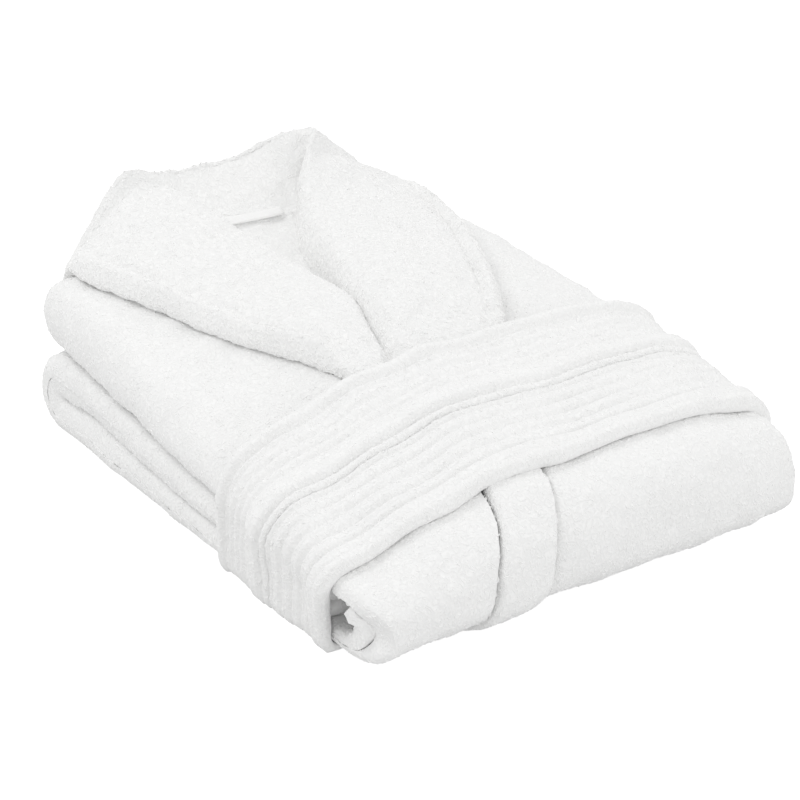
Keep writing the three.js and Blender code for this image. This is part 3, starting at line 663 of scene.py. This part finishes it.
def side_insets(station):
    """Insets of a front's side columns, drawn in at the neck so that the pile's corners are round."""
    corner = CHEST_SOFT * (1 - (1 - neck_end(station) ** ROUND_POWER) ** (1 / ROUND_POWER))
    return corner + SIDE_STEPS * (1 - corner / SIDE_STEPS[-1])


def mound(at, place, width, height):
    """A soft raised line across a cloth, or a groove where its height is below zero."""
    return height * np.exp(-((at - place) / width) ** 2)


def roll_pull(station):
    """How far the outer cloth's end is drawn in, halfway down the front roll."""
    return mound(station, 1.5, 0.16, ROLL_PULL)


def back_panel():
    side_steps = np.array([0, 0.5, 1.5, 3, 5, 8, 11.5, EDGE_ROUND])
    inner = np.linspace(0, 1, 40)[1:-1]
    station = PANEL_ROWS[:, None]
    y = y_at(PANEL_ROWS)[:, None]
    side = lerp(SIDE_WRAP + 3.5, 0.5, smooth(1, 1.2, station))
    start = -RIGHT_SIDE + side
    end = left_side(y) - side
    x = np.concatenate([
        start + side_steps,
        lerp(start + EDGE_ROUND, end - EDGE_ROUND, inner),
        end - side_steps[::-1],
    ], axis=1)
    inset = np.concatenate([side_steps, np.full(len(inner), INSIDE), side_steps[::-1]])[None, :]
    bare = station > 1.4  # past the middle of the roll, where the back's own side edges show
    keep = edge_round(station, np.where(bare, inset, INSIDE))
    top = np.where(bare & (inset < 10), 0.5 + DEPTH_GAP * 0.3, 0.5 - DEPTH_GAP / 2)
    low = cloth(station, x, lerp(top, 0, keep))
    high = cloth(station, x, top + 0 * x)
    at_side = np.where(bare & (inset < 8), 2.0, 0.0)
    in_neck = np.where((station < 0.62) & (np.abs(x) < 90), 1.0, 0.0)
    return sheet_mesh("back", low, high, pile_low=at_side, pile_high=in_neck)


back_cloth = back_panel()
sew_in(back_cloth, "back_panel", nap(back_cloth, 0.06, seed=2))

# ---- front panels ------------
# The two fronts lie over the back from the neck down. Their sides are folded in behind the chest,
# the left one laps over the right one, and both follow the back round the roll.
BELT_REAR_Y = -58.0
BAND_TOP_Y = BELT_REAR_Y - 24
BAND_WIDTH = 43.0
UNDER_LAP = 0.5 + 0.24
OVER_LAP = UNDER_LAP + DEPTH_GAP * 1.8
WRAP_END = chest_station(ROLL_Y + 8)

left_edge = chart([
    (chest_station(NECK_Y), 62),
    (chest_station(182), 38),
    (chest_station(152), 20),
    (chest_station(100), 5),
    (chest_station(34), -9),
    (chest_station(-20), -25),
    (chest_station(BAND_TOP_Y), -43),
    (1, -64),
    (2, -110),
    (2.2, -135),
    (5, -135),
])
right_edge = chart([
    (chest_station(NECK_Y), -76),
    (chest_station(194), -56),
    (chest_station(150), -38),
    (chest_station(85), -26),
    (chest_station(34), -17),
    (chest_station(-20), 16),
    (chest_station(BAND_TOP_Y), 45),
    (5, 45),
])


def band_room(station):
    return np.where(station > chest_station(BAND_TOP_Y), BAND_WIDTH + PLY_GAP, 0)


def front_face(station, x, inset, depth):
    keep = edge_round(station, inset)
    y = np.where(station < 1, lerp(NECK_Y, ROLL_Y, station), ROLL_Y)
    chest = settle(x, y, lerp(side_middle(y), lerp(chest_under(y), pile_top(y), depth), keep))
    rest = cloth(station, x, lerp(0.5 + DEPTH_GAP, depth, keep))
    return np.where((station > 1)[..., None], rest, chest)


def front_under(station, x, inset, depth):
    keep = edge_round(station, inset)
    y = np.where(station < 1, lerp(NECK_Y, ROLL_Y, station), ROLL_Y)
    folded_in = settle(x, y, lerp(side_middle(y), hem_top(y) + PLY_GAP, keep))
    wraps = ((inset < SIDE_STEPS[-1] - 0.1) & (station < WRAP_END + 1e-6))[..., None]
    return np.where(wraps, folded_in, cloth(station, x, depth))


def side_pile(station, inset):
    """Where a front's outer face can be seen: the chest, the roll, the neck-end turn and the sides."""
    seen = (station < 2.12) | ((station > 2.9) & (station < 4.08))
    return np.where(seen | (inset < 18), 1.0, 0.0) + 0 * inset


def right_front():
    station = PANEL_ROWS[:, None]
    inner = np.linspace(0, 1, 46)[1:-1]
    under = np.linspace(0, 1, 16)
    edge = right_edge(station) - band_room(station)
    full = np.minimum(left_edge(station) - 3, edge - 4)
    tucked = np.minimum(left_edge(station) - 0.7, edge - 2)
    start = -RIGHT_SIDE + roll_pull(station) + SIDE_STEPS[-1]
    x = np.concatenate([
        -RIGHT_SIDE + roll_pull(station) + side_insets(station),
        lerp(start, full, inner),
        full,
        lerp(tucked, edge, under),
    ], axis=1)
    inset = np.full(x.shape, INSIDE)
    inset[:, :len(SIDE_STEPS)] = side_insets(station)
    depth = np.ones(x.shape)
    depth[:, -len(under):] = UNDER_LAP
    station = station + 0 * x
    high = front_face(station, x, inset, depth)
    low = front_under(station, x, inset, 0.5 + DEPTH_GAP / 2)
    low, high = rim(low, high, 5, rows=(False, True), columns=(False, True))
    pile = side_pile(station, inset) * (depth > UNDER_LAP + 0.01)
    return sheet_mesh("right_front", low, high, pile_low=np.where(inset < 12, 1.0, 0.0), pile_high=pile)


def left_front():
    station = PANEL_ROWS[:, None]
    over = np.linspace(0, 1, 20)
    inner = np.linspace(0, 1, 46)[1:-1]
    end = left_side(y_at(PANEL_ROWS))[:, None]
    edge = left_edge(station) + band_room(station)
    lap_end = np.maximum(right_edge(station) + 1, edge + 2)
    full = np.maximum(right_edge(station) + 9, edge + 4)
    side = end - side_insets(station)[:, ::-1]
    x = np.concatenate([
        lerp(edge, lap_end, over),
        full,
        lerp(full, side[:, :1], inner),
        side,
    ], axis=1)
    inset = np.full(x.shape, INSIDE)
    inset[:, -len(SIDE_STEPS):] = side_insets(station)[:, ::-1]
    laps = np.zeros(x.shape, dtype=bool)
    laps[:, :len(over)] = True
    station = station + 0 * x
    over_right = lerp(0.5 + DEPTH_GAP / 2, OVER_LAP, edge_round(station, INSIDE))
    depth = np.where(laps, over_right, 0.5 + DEPTH_GAP / 2)
    high = front_face(station, x, inset, 1.0)
    low = front_under(station, x, inset, depth)
    low, high = rim(low, high, 2, rows=(False, True), columns=(True, False), meet=0.35)
    return sheet_mesh("left_front", low, high, pile_low=np.where(inset < 12, 1.0, 0.0),
                      pile_high=side_pile(station, inset))


right_cloth = right_front()
left_cloth = left_front()
sew_in(right_cloth, "right_front_panel",
       nap(right_cloth, 0.083, seed=3))
sew_in(left_cloth, "left_front_panel",
       nap(left_cloth, 0.085, seed=4, cuts=(0,)))

# ---- front bands ------------
# A straight band of doubled terry sewn along the edge of each front, from the lapels to the hem.
# The left one stands a little proud of its front; the right one is hidden under the left front.
BAND_ROWS = PANEL_ROWS[PANEL_ROWS > chest_station(BAND_TOP_Y)]


def left_band():
    share = np.concatenate([
        [0, 0.01, 0.03, 0.06, 0.1],
        np.linspace(0.15, 0.85, 12),
        [0.9, 0.94, 0.97, 0.99, 1],
    ])
    station = BAND_ROWS[:, None]
    x = left_edge(station) + share * BAND_WIDTH
    low = cloth(station, x, OVER_LAP)
    high = cloth(station, x, 1.06 + 0.12 * smooth(1.35, 1.9, station) + 0 * x)
    low, high = rim(low, high, 3.2, rows=(False, True), columns=(True, False), meet=0.15)
    low, high = rim(low, high, 2, rows=(False, False), columns=(False, True), meet=0.35)
    seen = np.where((station < 2.1) | ((station > 2.95) & (station < 4.05)), 1.0, 0.0)
    fringe = np.where(share < 0.08, 3.0, 1.0)
    return sheet_mesh("left_band", low, high, pile_low=0.0, pile_high=seen * fringe)


def right_band():
    share = np.linspace(0, 1, 14)
    station = BAND_ROWS[:, None]
    x = right_edge(station) - (1 - share) * BAND_WIDTH
    low = cloth(station, x, 0.5 + DEPTH_GAP / 2 + 0 * x)
    high = cloth(station, x, UNDER_LAP + 0 * x)
    low, high = rim(low, high, 2.5)
    return sheet_mesh("right_band", low, high, pile_high=0.0)


left_band_cloth = left_band()
right_band_cloth = right_band()
sew_in(left_band_cloth, "left_front_band",
       nap(left_band_cloth, 0.1, seed=5))
sew_in(right_band_cloth, "right_front_band")

# ---- pockets ------------
# Two patch pockets of the same terry, topstitched to the skirt. Folded, the left one faces the
# shelf and the right one lies between the two fronts.


def flat_patch(name, node):
    """A flat stitched patch that fills a node's box, with soft edges."""
    low_corner, high_corner = (np.array(c) / MM - FOLD_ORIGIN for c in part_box(node))
    size = high_corner - low_corner
    edge = np.array([0, 0.5, 1.5, 3])
    spans = [
        np.concatenate([edge, np.linspace(5, side - 5, int(side / 5)), side - edge[::-1]])
        for side in size[:2]
    ]
    x, y = np.meshgrid(low_corner[0] + spans[0], low_corner[1] + spans[1])
    low = np.stack([x, y, np.full(x.shape, low_corner[2])], -1)
    high = np.stack([x, y, np.full(x.shape, high_corner[2])], -1)
    low, high = rim(low, high, 1.5)
    return sheet_mesh(name, low, high, pile_high=0.0, lump=0.1)


for side in ("left", "right"):
    pocket = flat_patch(side + "_patch_pocket", side + "_pocket")
    sew_in(pocket, side + "_pocket")

# ---- hem ------------
# The bottom of the robe: its terry is turned up 32 mm and stitched across. Rolled in with the
# skirt, it ends up inside the front roll.


def hem():
    rows = hem_station(np.linspace(HEM_Y + HEM_BAND, HEM_Y, 14))[:, None]
    share = np.concatenate([[0, 0.004, 0.012, 0.03], np.linspace(0.06, 0.94, 60), [0.97, 0.988, 0.996, 1]])
    x = lerp(-RIGHT_SIDE + 1, left_side(y_at(rows)) - 1, share)
    low, high = rim(cloth(rows, x, 0.0), cloth(rows, x, 1.0), 6, rows=(False, True))
    at_ends = np.where((share < 0.05) | (share > 0.95), 1.0, 0.0)
    return sheet_mesh("hem", low, high, pile_high=at_ends)


hem_cloth = hem()
sew_in(hem_cloth, "hem_band")

# ---- sleeves, cuffs and belt loops ------------
# The sleeves are folded flat behind the chest, with their turned-back cuffs below them. The two
# belt loops hang on the side seams beside them.
SLEEVE_NECK_Y = 184.0
SLEEVE_INSET = 40.0
SLEEVE_SPACING = 8.0
CUFF_FRONT_Y = -150.0
CUFF_LENGTH = 75.0
CUFF_NECK_Y = CUFF_FRONT_Y + CUFF_LENGTH
LOOP_WIDTH = 11.0
LOOP_LENGTH = 62.0
LOOP_THICKNESS = 3.0
LOOP_FRONT_Y = -140.0
LOOP_INSET = SIDE_WRAP + 3.5


def sleeve_space(y):
    return chest_under(y) - hem_top(y) - 2.4 * PLY_GAP


def tucked(name, rows, from_x, to_x, thickness):
    y = rows[:, None]
    x = lerp(from_x, to_x, np.linspace(0, 1, 22))
    bottom = hem_top(y) + PLY_GAP + 0 * x
    low, high = rim(settle(x, y, bottom), settle(x, y, bottom + thickness), 5)
    return sheet_mesh(name, low, high, pile_high=0.0)


for name, rows, length in (
    ("sleeve", np.linspace(SLEEVE_NECK_Y, CUFF_NECK_Y + PLY_GAP, 50), 0.258),
    ("cuff", np.linspace(CUFF_NECK_Y, CUFF_FRONT_Y, 24), CUFF_LENGTH * MM),
):
    space = sleeve_space(rows)[:, None]
    end = left_side(rows)[:, None] - SLEEVE_INSET
    right = tucked("right_folded_" + name, rows, -RIGHT_SIDE + SLEEVE_INSET, -SLEEVE_SPACING / 2, space)
    left = tucked("left_folded_" + name, rows, SLEEVE_SPACING / 2, end, space)
    sew_in(right, "right_" + name)
    sew_in(left, "left_" + name)

loop_rows = np.linspace(LOOP_FRONT_Y + LOOP_LENGTH, LOOP_FRONT_Y, 20)
loop_ends = left_side(loop_rows)[:, None] - LOOP_INSET
for side, from_x, to_x in (
    ("right", -RIGHT_SIDE + LOOP_INSET, -RIGHT_SIDE + LOOP_INSET + LOOP_WIDTH),
    ("left", loop_ends - LOOP_WIDTH, loop_ends),
):
    loop = tucked(side + "_side_loop", loop_rows, from_x, to_x, LOOP_THICKNESS)
    sew_in(loop, side + "_belt_loop")

# ---- shawl collar ------------
# One wide doubled collar in four lengths. It folds over at the roll line, lies on the fronts and
# ends in a thick rolled outer edge. The lapels' tips run in under the belt.
COLLAR_EDGE = 10.0
COLLAR_FALL_Z = 92.0
TIP_Y = BELT_REAR_Y - 20
LAPEL_BULGE = 5.0
LIP = 5.0
CREST_ROUND = 9.0
CREST_LIFT = 3.0
BEAD_PLACE = 7.0
BEAD_WIDTH = 5.0
BEAD_HEIGHT = 3.8
DIP_PLACE = 16.0
DIP_WIDTH = 3.3
DIP_DEPTH = 3.6
STAND_FOOT_Y = 174.0
STAND_FOOT_Z = 129.0
STAND_TOP_Y = 211.0
STAND_TOP_Z = 163.0
COLLAR_STATIONS = np.array([
    [-52, TIP_Y, 101, -66, TIP_Y],
    [-42, -50, 109.5, -74, -50],
    [-31, -8, 117, -86, -7],
    [-19, 40, 124, -107, 36],
    [-24, 85, 130, -123, 88],
    [-38, 150, 141, -144, 145],
    [-60, 196, 158, -152, 190],
    [-88, 212, 169.5, -138, 226],
    [-50, 216, 161, -60, 238],
    [0, 216, 161.5, 0, 240],
    [36, 215, 173.5, 56, 239],
    [55, 206, 175.5, 134, 226],
    [38, 184, 164, 148, 200],
    [17, 152, 146, 139, 155],
    [2, 100, 138, 121, 98],
    [-13, 40, 131, 98, 38],
    [-28, -20, 122, 70, -24],
    [-38, -56, 110.8, 55, -52],
    [-47, TIP_Y, 101.8, 42, TIP_Y],
])
COLLAR_LENGTHS = {
    "right_lapel": (0, 6.62),
    "right_collar": (6.62, 9),
    "left_collar": (9, 11.38),
    "left_lapel": (11.38, 18),
}
collar_edge = chart([(TIP_Y, 1), (BELT_REAR_Y, 4), (BELT_REAR_Y + 30, COLLAR_EDGE)])


def through(points, t):
    """A smooth centripetal curve through points, at parameters 0 to len - 1."""
    padded = np.vstack([2 * points[0] - points[1], points, 2 * points[-1] - points[-2]])
    k = np.minimum(t.astype(int), len(points) - 2)
    p = [padded[k + i] for i in range(4)]
    span = [np.linalg.norm(p[i + 1] - p[i], axis=1, keepdims=True) ** 0.5 for i in range(3)]
    knot = [np.zeros_like(span[0])]
    for s in span:
        knot.append(knot[-1] + s)
    at = knot[1] + (knot[2] - knot[1]) * (t - k)[:, None]

    def mix(a, b, i, j):
        return a * (knot[j] - at) / (knot[j] - knot[i]) + b * (at - knot[i]) / (knot[j] - knot[i])

    a = [mix(p[i], p[i + 1], i, i + 1) for i in range(3)]
    b = [mix(a[i], a[i + 1], i, i + 2) for i in range(2)]
    return mix(b[0], b[1], 1, 2)


def collar_seat(x, y):
    """What the collar lies on: the rounded pile, then lower down behind the neck end."""
    inset = np.minimum(x + RIGHT_SIDE, left_side(y) - x)
    keep = edge_round(chest_station(y), inset)
    top = settle(x, y, lerp(side_middle(y), pile_top(y), keep) + PLY_GAP)[..., 2]
    return lerp(top, COLLAR_FALL_Z, smooth(NECK_Y, NECK_Y + 12, y))


def collar_floor(x, y):
    """What the inner side of the roll comes down to: the inside of the back, then the stand."""
    inside = settle(x, y, lerp(chest_under(y), pile_top(y), 0.5))[..., 2] + 2
    stand = lerp(STAND_FOOT_Z, STAND_TOP_Z, clamp((y - STAND_FOOT_Y) / (STAND_TOP_Y - STAND_FOOT_Y)))
    return np.where(y > STAND_FOOT_Y, np.maximum(inside, stand - 5), inside)


def collar(name, start, end):
    station = np.linspace(start, end, int((end - start) * 17))
    roll = through(COLLAR_STATIONS[:, :3].astype(float), station)
    outer = through(np.pad(COLLAR_STATIONS[:, 3:].astype(float), ((0, 0), (0, 1))), station)
    out = (outer - roll)[:, :2]
    width = np.linalg.norm(out, axis=1, keepdims=True)
    out /= width
    shown = smooth(BELT_REAR_Y + 4, BELT_REAR_Y + 60, roll[:, 1:2])
    edge = collar_edge(outer[:, 1:2]) + 3 * shown
    crest = roll[:, 2:3] + CREST_LIFT * shown

    # the roll: up from the inside to the crest, then out to the thick outer edge
    climb = np.linspace(0, 1, 12)[None, :] * np.pi / 2
    climbed = climb.shape[1]
    share = np.concatenate([
        np.linspace(0, 0.84, 26)[1:],
        [0.87, 0.895, 0.915, 0.935, 0.955, 0.972, 0.985, 0.995, 1],
    ])[None, :]
    reach = LIP + CREST_ROUND
    away = np.concatenate([-LIP + reach * (1 - np.cos(climb)) + 0 * width,
                           lerp(CREST_ROUND, width + 2 * shown, share)], axis=1)
    x = roll[:, :1] + out[:, :1] * away
    y = roll[:, 1:2] + out[:, 1:2] * away
    seat = collar_seat(x, y)
    ground = np.minimum(collar_floor(x, y), seat)
    outer_top = seat[:, -1:] + edge
    straight = lerp(crest, outer_top, share)
    bulge = LAPEL_BULGE * shown * 4 * share * (1 - share)
    from_edge = (1 - share) * width
    before_neck = 1 - smooth(150, 200, outer[:, 1:2])
    bead = mound(from_edge, BEAD_PLACE, BEAD_WIDTH, BEAD_HEIGHT)
    dip = mound(from_edge, DIP_PLACE, DIP_WIDTH, -DIP_DEPTH)
    lower = seat[:, climbed:]
    slope = np.maximum(straight + bulge, lower + edge * 0.8) + shown * before_neck * (bead + dip)
    round_off = rounded(from_edge, edge * 0.6)
    top = np.concatenate([
        ground[:, :1] + (crest - ground[:, :1]) * np.sin(climb),
        lerp((slope + lower) / 2, slope, round_off),
    ], axis=1)
    bottom = np.concatenate([
        lerp(ground[:, :1], lower[:, :1], np.sin(climb) ** 2),
        lerp((slope + lower) / 2, lower, round_off),
    ], axis=1)
    column = np.arange(away.shape[1])
    under = np.where(column < climbed, np.maximum(away, -1.5), away)
    low = np.stack([roll[:, :1] + out[:, :1] * under, roll[:, 1:2] + out[:, 1:2] * under, bottom], -1)
    high = np.stack([x, y, top], -1)
    at_edge = column > len(column) - 6
    return sheet_mesh(name + "_cloth", low, high, pile_low=np.where(at_edge, 4.0, 0.0),
                      pile_high=np.where(at_edge, 2.5, 1.0), lump=0.5)


COLLAR_TERRY = terry("collar_terry", scale=150.0, depth=0.0006, strength=0.6, shade=0.905)
for count, (name, (start, end)) in enumerate(COLLAR_LENGTHS.items()):
    length = collar(name, start, end)
    sew_in(length, name,
           nap(length, 0.1, length=3.3, thread=0.4, seed=20 + count),
           material=COLLAR_TERRY)

# ---- inside of the neck ------------
# Two terry pieces sewn into the neck seam: the collar stand rises from it to the collar's crest,
# and a half-moon facing covers the back below it.
FACING_FRONT_Y = 66.0
NECK_TUCK = 3.0
NECK_PLY = 7.0
NECK_SPREAD = 10.0
STAND_END_Y = 217.0
CREST_X = (-90, -50, 0, 36, 55)
CREST_Z = (171, 162.5, 163, 175, 177)


def neck_floor(y, x):
    return settle(x, y, lerp(chest_under(y), pile_top(y), 0.5 - DEPTH_GAP / 2) + PLY_GAP)


def neck_piece(name, rows, height):
    """A sheet inside the neck, between the two fronts' edges, whose face is at the given height."""
    y = rows[:, None]
    station = chest_station(y)
    share = np.linspace(0, 1, 46)
    spread = NECK_SPREAD * smooth(188, 214, y)
    x = lerp(right_edge(station) - NECK_TUCK - spread, left_edge(station) + NECK_TUCK, share)
    low = neck_floor(y, x)
    high = low.copy()
    high[..., 2] = height(x, y, low[..., 2]) + 0 * x
    low[..., 2] = np.maximum(low[..., 2], high[..., 2] - NECK_PLY)
    low, high = rim(low, high, 3, rows=(True, False), meet=0.75)
    return sheet_mesh(name, low, high, pile_high=1.0, lump=0.5)


def stand_height(x, y, _floor_z):
    """The stand climbs from the neck seam to the collar's crest, in a bowl with two soft puckers."""
    up = (y - STAND_FOOT_Y) / (STAND_END_Y - STAND_FOOT_Y)
    crest = np.interp(x, CREST_X, CREST_Z)
    puckers = mound(x + 46 + 10 * up, 0, 5, 3.2) + mound(x - 26 - 8 * up, 0, 4.5, 2.4)
    return lerp(STAND_FOOT_Z, crest, up ** 1.15) - puckers * np.sin(np.pi * clamp(up)) ** 0.7


def facing_height(_x, y, floor_z):
    """The facing climbs from the inside of the back to the neck seam."""
    t = (y - FACING_FRONT_Y) / (STAND_FOOT_Y - FACING_FRONT_Y)
    return lerp(floor_z + 2, STAND_FOOT_Z - 1, t ** 2)


stand = neck_piece("stand", np.linspace(STAND_FOOT_Y + PLY_GAP, STAND_END_Y, 34), stand_height)
sew_in(stand, "collar_stand", nap(stand, 0.09, seed=30))
facing = neck_piece("facing", np.linspace(FACING_FRONT_Y, STAND_FOOT_Y + 2, 47), facing_height)
sew_in(facing, "back_neck_facing", nap(facing, 0.06, seed=31))

# ---- hanger loop ------------
# A flat woven cotton tape, 7 mm wide, caught in the neck seam at both ends. It lies flat on the sloping foot
# of the stand.
HANGER_LENGTH = 54.0
HANGER_WIDTH = 7.0
HANGER_THICKNESS = 2.4
HANGER_X = -12.0
HANGER_RISE = 1.5


def tape():
    slope = (STAND_TOP_Z - STAND_FOOT_Z) / (STAND_TOP_Y - STAND_FOOT_Y)
    run = 1 / math.hypot(1, slope)
    along = HANGER_RISE + np.linspace(0, HANGER_WIDTH, 12)[:, None]
    across = np.linspace(-0.5, 0.5, 56) * HANGER_LENGTH

    def face(lift):
        y = STAND_FOOT_Y + along * run - lift * slope * run + 0 * across
        z = STAND_FOOT_Z + along * slope * run + lift * run + 0 * across
        return np.stack([HANGER_X + across + 0 * y, y, z], -1)

    low, high = rim(face(PLY_GAP), face(PLY_GAP + HANGER_THICKNESS), 0.9)
    return sheet_mesh("hanger_tape", low, high, pile_high=0.0, lump=0.08)


TAPE = terry("woven_tape", scale=420.0, depth=0.00015, strength=0.4, light=0.98, shade=0.955)
hanger = tape()
sew_in(hanger, "hanger_loop", body="hanger", material=TAPE)

# ---- belt ------------
# The robe's own belt: a doubled terry band, stitched along its length, wound twice round the front
# half of the pile. Each turn has a raised hem along both edges.
BELT_WIDTH = 65.0
BELT_THICKNESS = 6.5
BELT_UNDER = 4.0
BELT_AIR = 0.7
TIP_ROOM = 6.0
BELT_CORNER = 6.0
SLIT = 0.5
FRONT_PLY = 0.6
BELT_PILE_FLOOR = 10
BELT_MIDDLE_Y = BELT_REAR_Y - BELT_WIDTH


def belt_inner(y):
    """The belt's inner outline at y, from the slit below round the left side and over the top."""
    right = -RIGHT_SIDE - BELT_AIR
    left = left_side(y) + BELT_AIR
    room = TIP_ROOM * smooth(TIP_Y - 14, BELT_REAR_Y - 6, y)

    def shoulder(x):
        inset = np.minimum(x - right, left - x)
        z = lerp(side_middle(y), pile_top(y), rounded(inset, EDGE_ROUND))
        return settle(x, y, z)[..., 2] + BELT_AIR + room * rounded(inset, EDGE_ROUND)

    def corner(x, turn):
        a = np.linspace(0, np.pi / 2, 7)
        return x + turn * BELT_CORNER * (np.sin(a) - 1), BELT_UNDER + BELT_CORNER * (1 - np.cos(a))

    over = np.array([0, 0.3, 0.9, 1.9, 3.2, 4.8, 6.8, 9.2, 12, EDGE_ROUND])
    top_x = np.concatenate([left - over, np.linspace(left - EDGE_ROUND, right + EDGE_ROUND, 106)[1:-1],
                            (right + over)[::-1]])
    top_z = shoulder(top_x)
    left_corner, right_corner = corner(left, 1), corner(right, -1)
    rise = np.linspace(0, 1, 12)[1:-1]
    left_wall = lerp(left_corner[1][-1], top_z[0], rise)
    right_wall = lerp(top_z[-1], right_corner[1][-1], rise)
    under_left = np.linspace(SLIT, left - BELT_CORNER, 26)[:-1]
    under_right = np.linspace(right + BELT_CORNER, -SLIT, 26)[1:]
    x = np.concatenate([under_left, left_corner[0], left + 0 * rise, top_x, right + 0 * rise,
                        right_corner[0][::-1], under_right])
    z = np.concatenate([0 * under_left + BELT_UNDER, left_corner[1], left_wall, top_z, right_wall,
                        right_corner[1][::-1], 0 * under_right + BELT_UNDER])
    return np.stack([x, y + 0 * x, z], -1)


def welt(across, start, end, height, soft=1.6):
    """A raised strip between two places, with round shoulders."""
    up = smooth(start - soft, start + soft, across)
    down = smooth(end - soft, end + soft, across)
    return height * (up - down)


def rear_profile(across):
    """Thickness of the rear turn from its rear edge forward."""
    rows = sum(mound(across, place, 1.6, -1.8) for place in (15.5, 22.5, 29.5, 36.5))
    rear_hem = welt(across, -3, 7.5, 2.0)
    rear_seam = mound(across, 9.8, 2.0, -3.2)
    front_hem = welt(across, 43.5, 56, 3.4, 2.2)
    front_seam = mound(across, 58.3, 1.3, -2.8)
    return BELT_THICKNESS + rows + rear_hem + rear_seam + front_hem + front_seam + welt(across, 59.5, 70, 1.2)


def front_profile(across):
    """Thickness of the front turn: close stitched rows, then the thick front hem."""
    rows = sum(mound(across, place, 2.1, -3.4) for place in (4.5, 15, 25.5, 36, 47.5))
    faint = sum(mound(across, place, 1.2, -0.8) for place in (10, 20.5, 31, 41.5))
    hem_roll = welt(across, 50, 70, 3.2, 2.2)
    hem_seam = mound(across, 57.5, 0.8, -0.8)
    return BELT_THICKNESS + FRONT_PLY + rows + faint + hem_roll + hem_seam


def belt_turn(name, rear_y, front_y, profile):
    """One turn of the belt round the pile, its rows and hems fading out underneath."""
    y = np.linspace(rear_y, front_y, 74)
    inner = np.array([belt_inner(row) for row in y])
    along = np.gradient(inner, axis=1)
    along /= np.linalg.norm(along, axis=-1, keepdims=True)
    out = np.stack([along[..., 2], 0 * along[..., 0], -along[..., 0]], -1)
    across = (rear_y - y)[:, None, None]
    relief = 0.35 + 0.65 * smooth(2, 24, inner[..., 2:])
    outer = inner + out * (BELT_THICKNESS + (profile(across) - BELT_THICKNESS) * relief)
    outer[..., 2] = np.maximum(outer[..., 2], 0)
    low, high = rim(inner, outer, 3.2)
    seen = np.where(high[..., 2] > BELT_PILE_FLOOR, 1.0, 0.0) * np.where(across[..., 0] > 61, 2.5, 1.0)
    return sheet_mesh(name, low, high, pile_low=0.0, pile_high=seen, lump=0.18)


BELT_TERRY = terry("belt_terry_cloth", scale=165.0, depth=0.0005, strength=0.5, shade=0.915)
rear_turn = belt_turn("rear_turn", BELT_REAR_Y, BELT_MIDDLE_Y + PLY_GAP / 2, rear_profile)
front_turn = belt_turn("front_turn", BELT_MIDDLE_Y - PLY_GAP / 2, BELT_MIDDLE_Y - BELT_WIDTH, front_profile)
for turn, node, length, seed in (
    (rear_turn, "belt_rear_turn", 0.86, 40),
    (front_turn, "belt_front_turn", 0.84, 41),
):
    sew_in(turn, node, nap(turn, 0.09, length=2.7, thread=0.32, seed=seed),
           body="belt", material=BELT_TERRY)
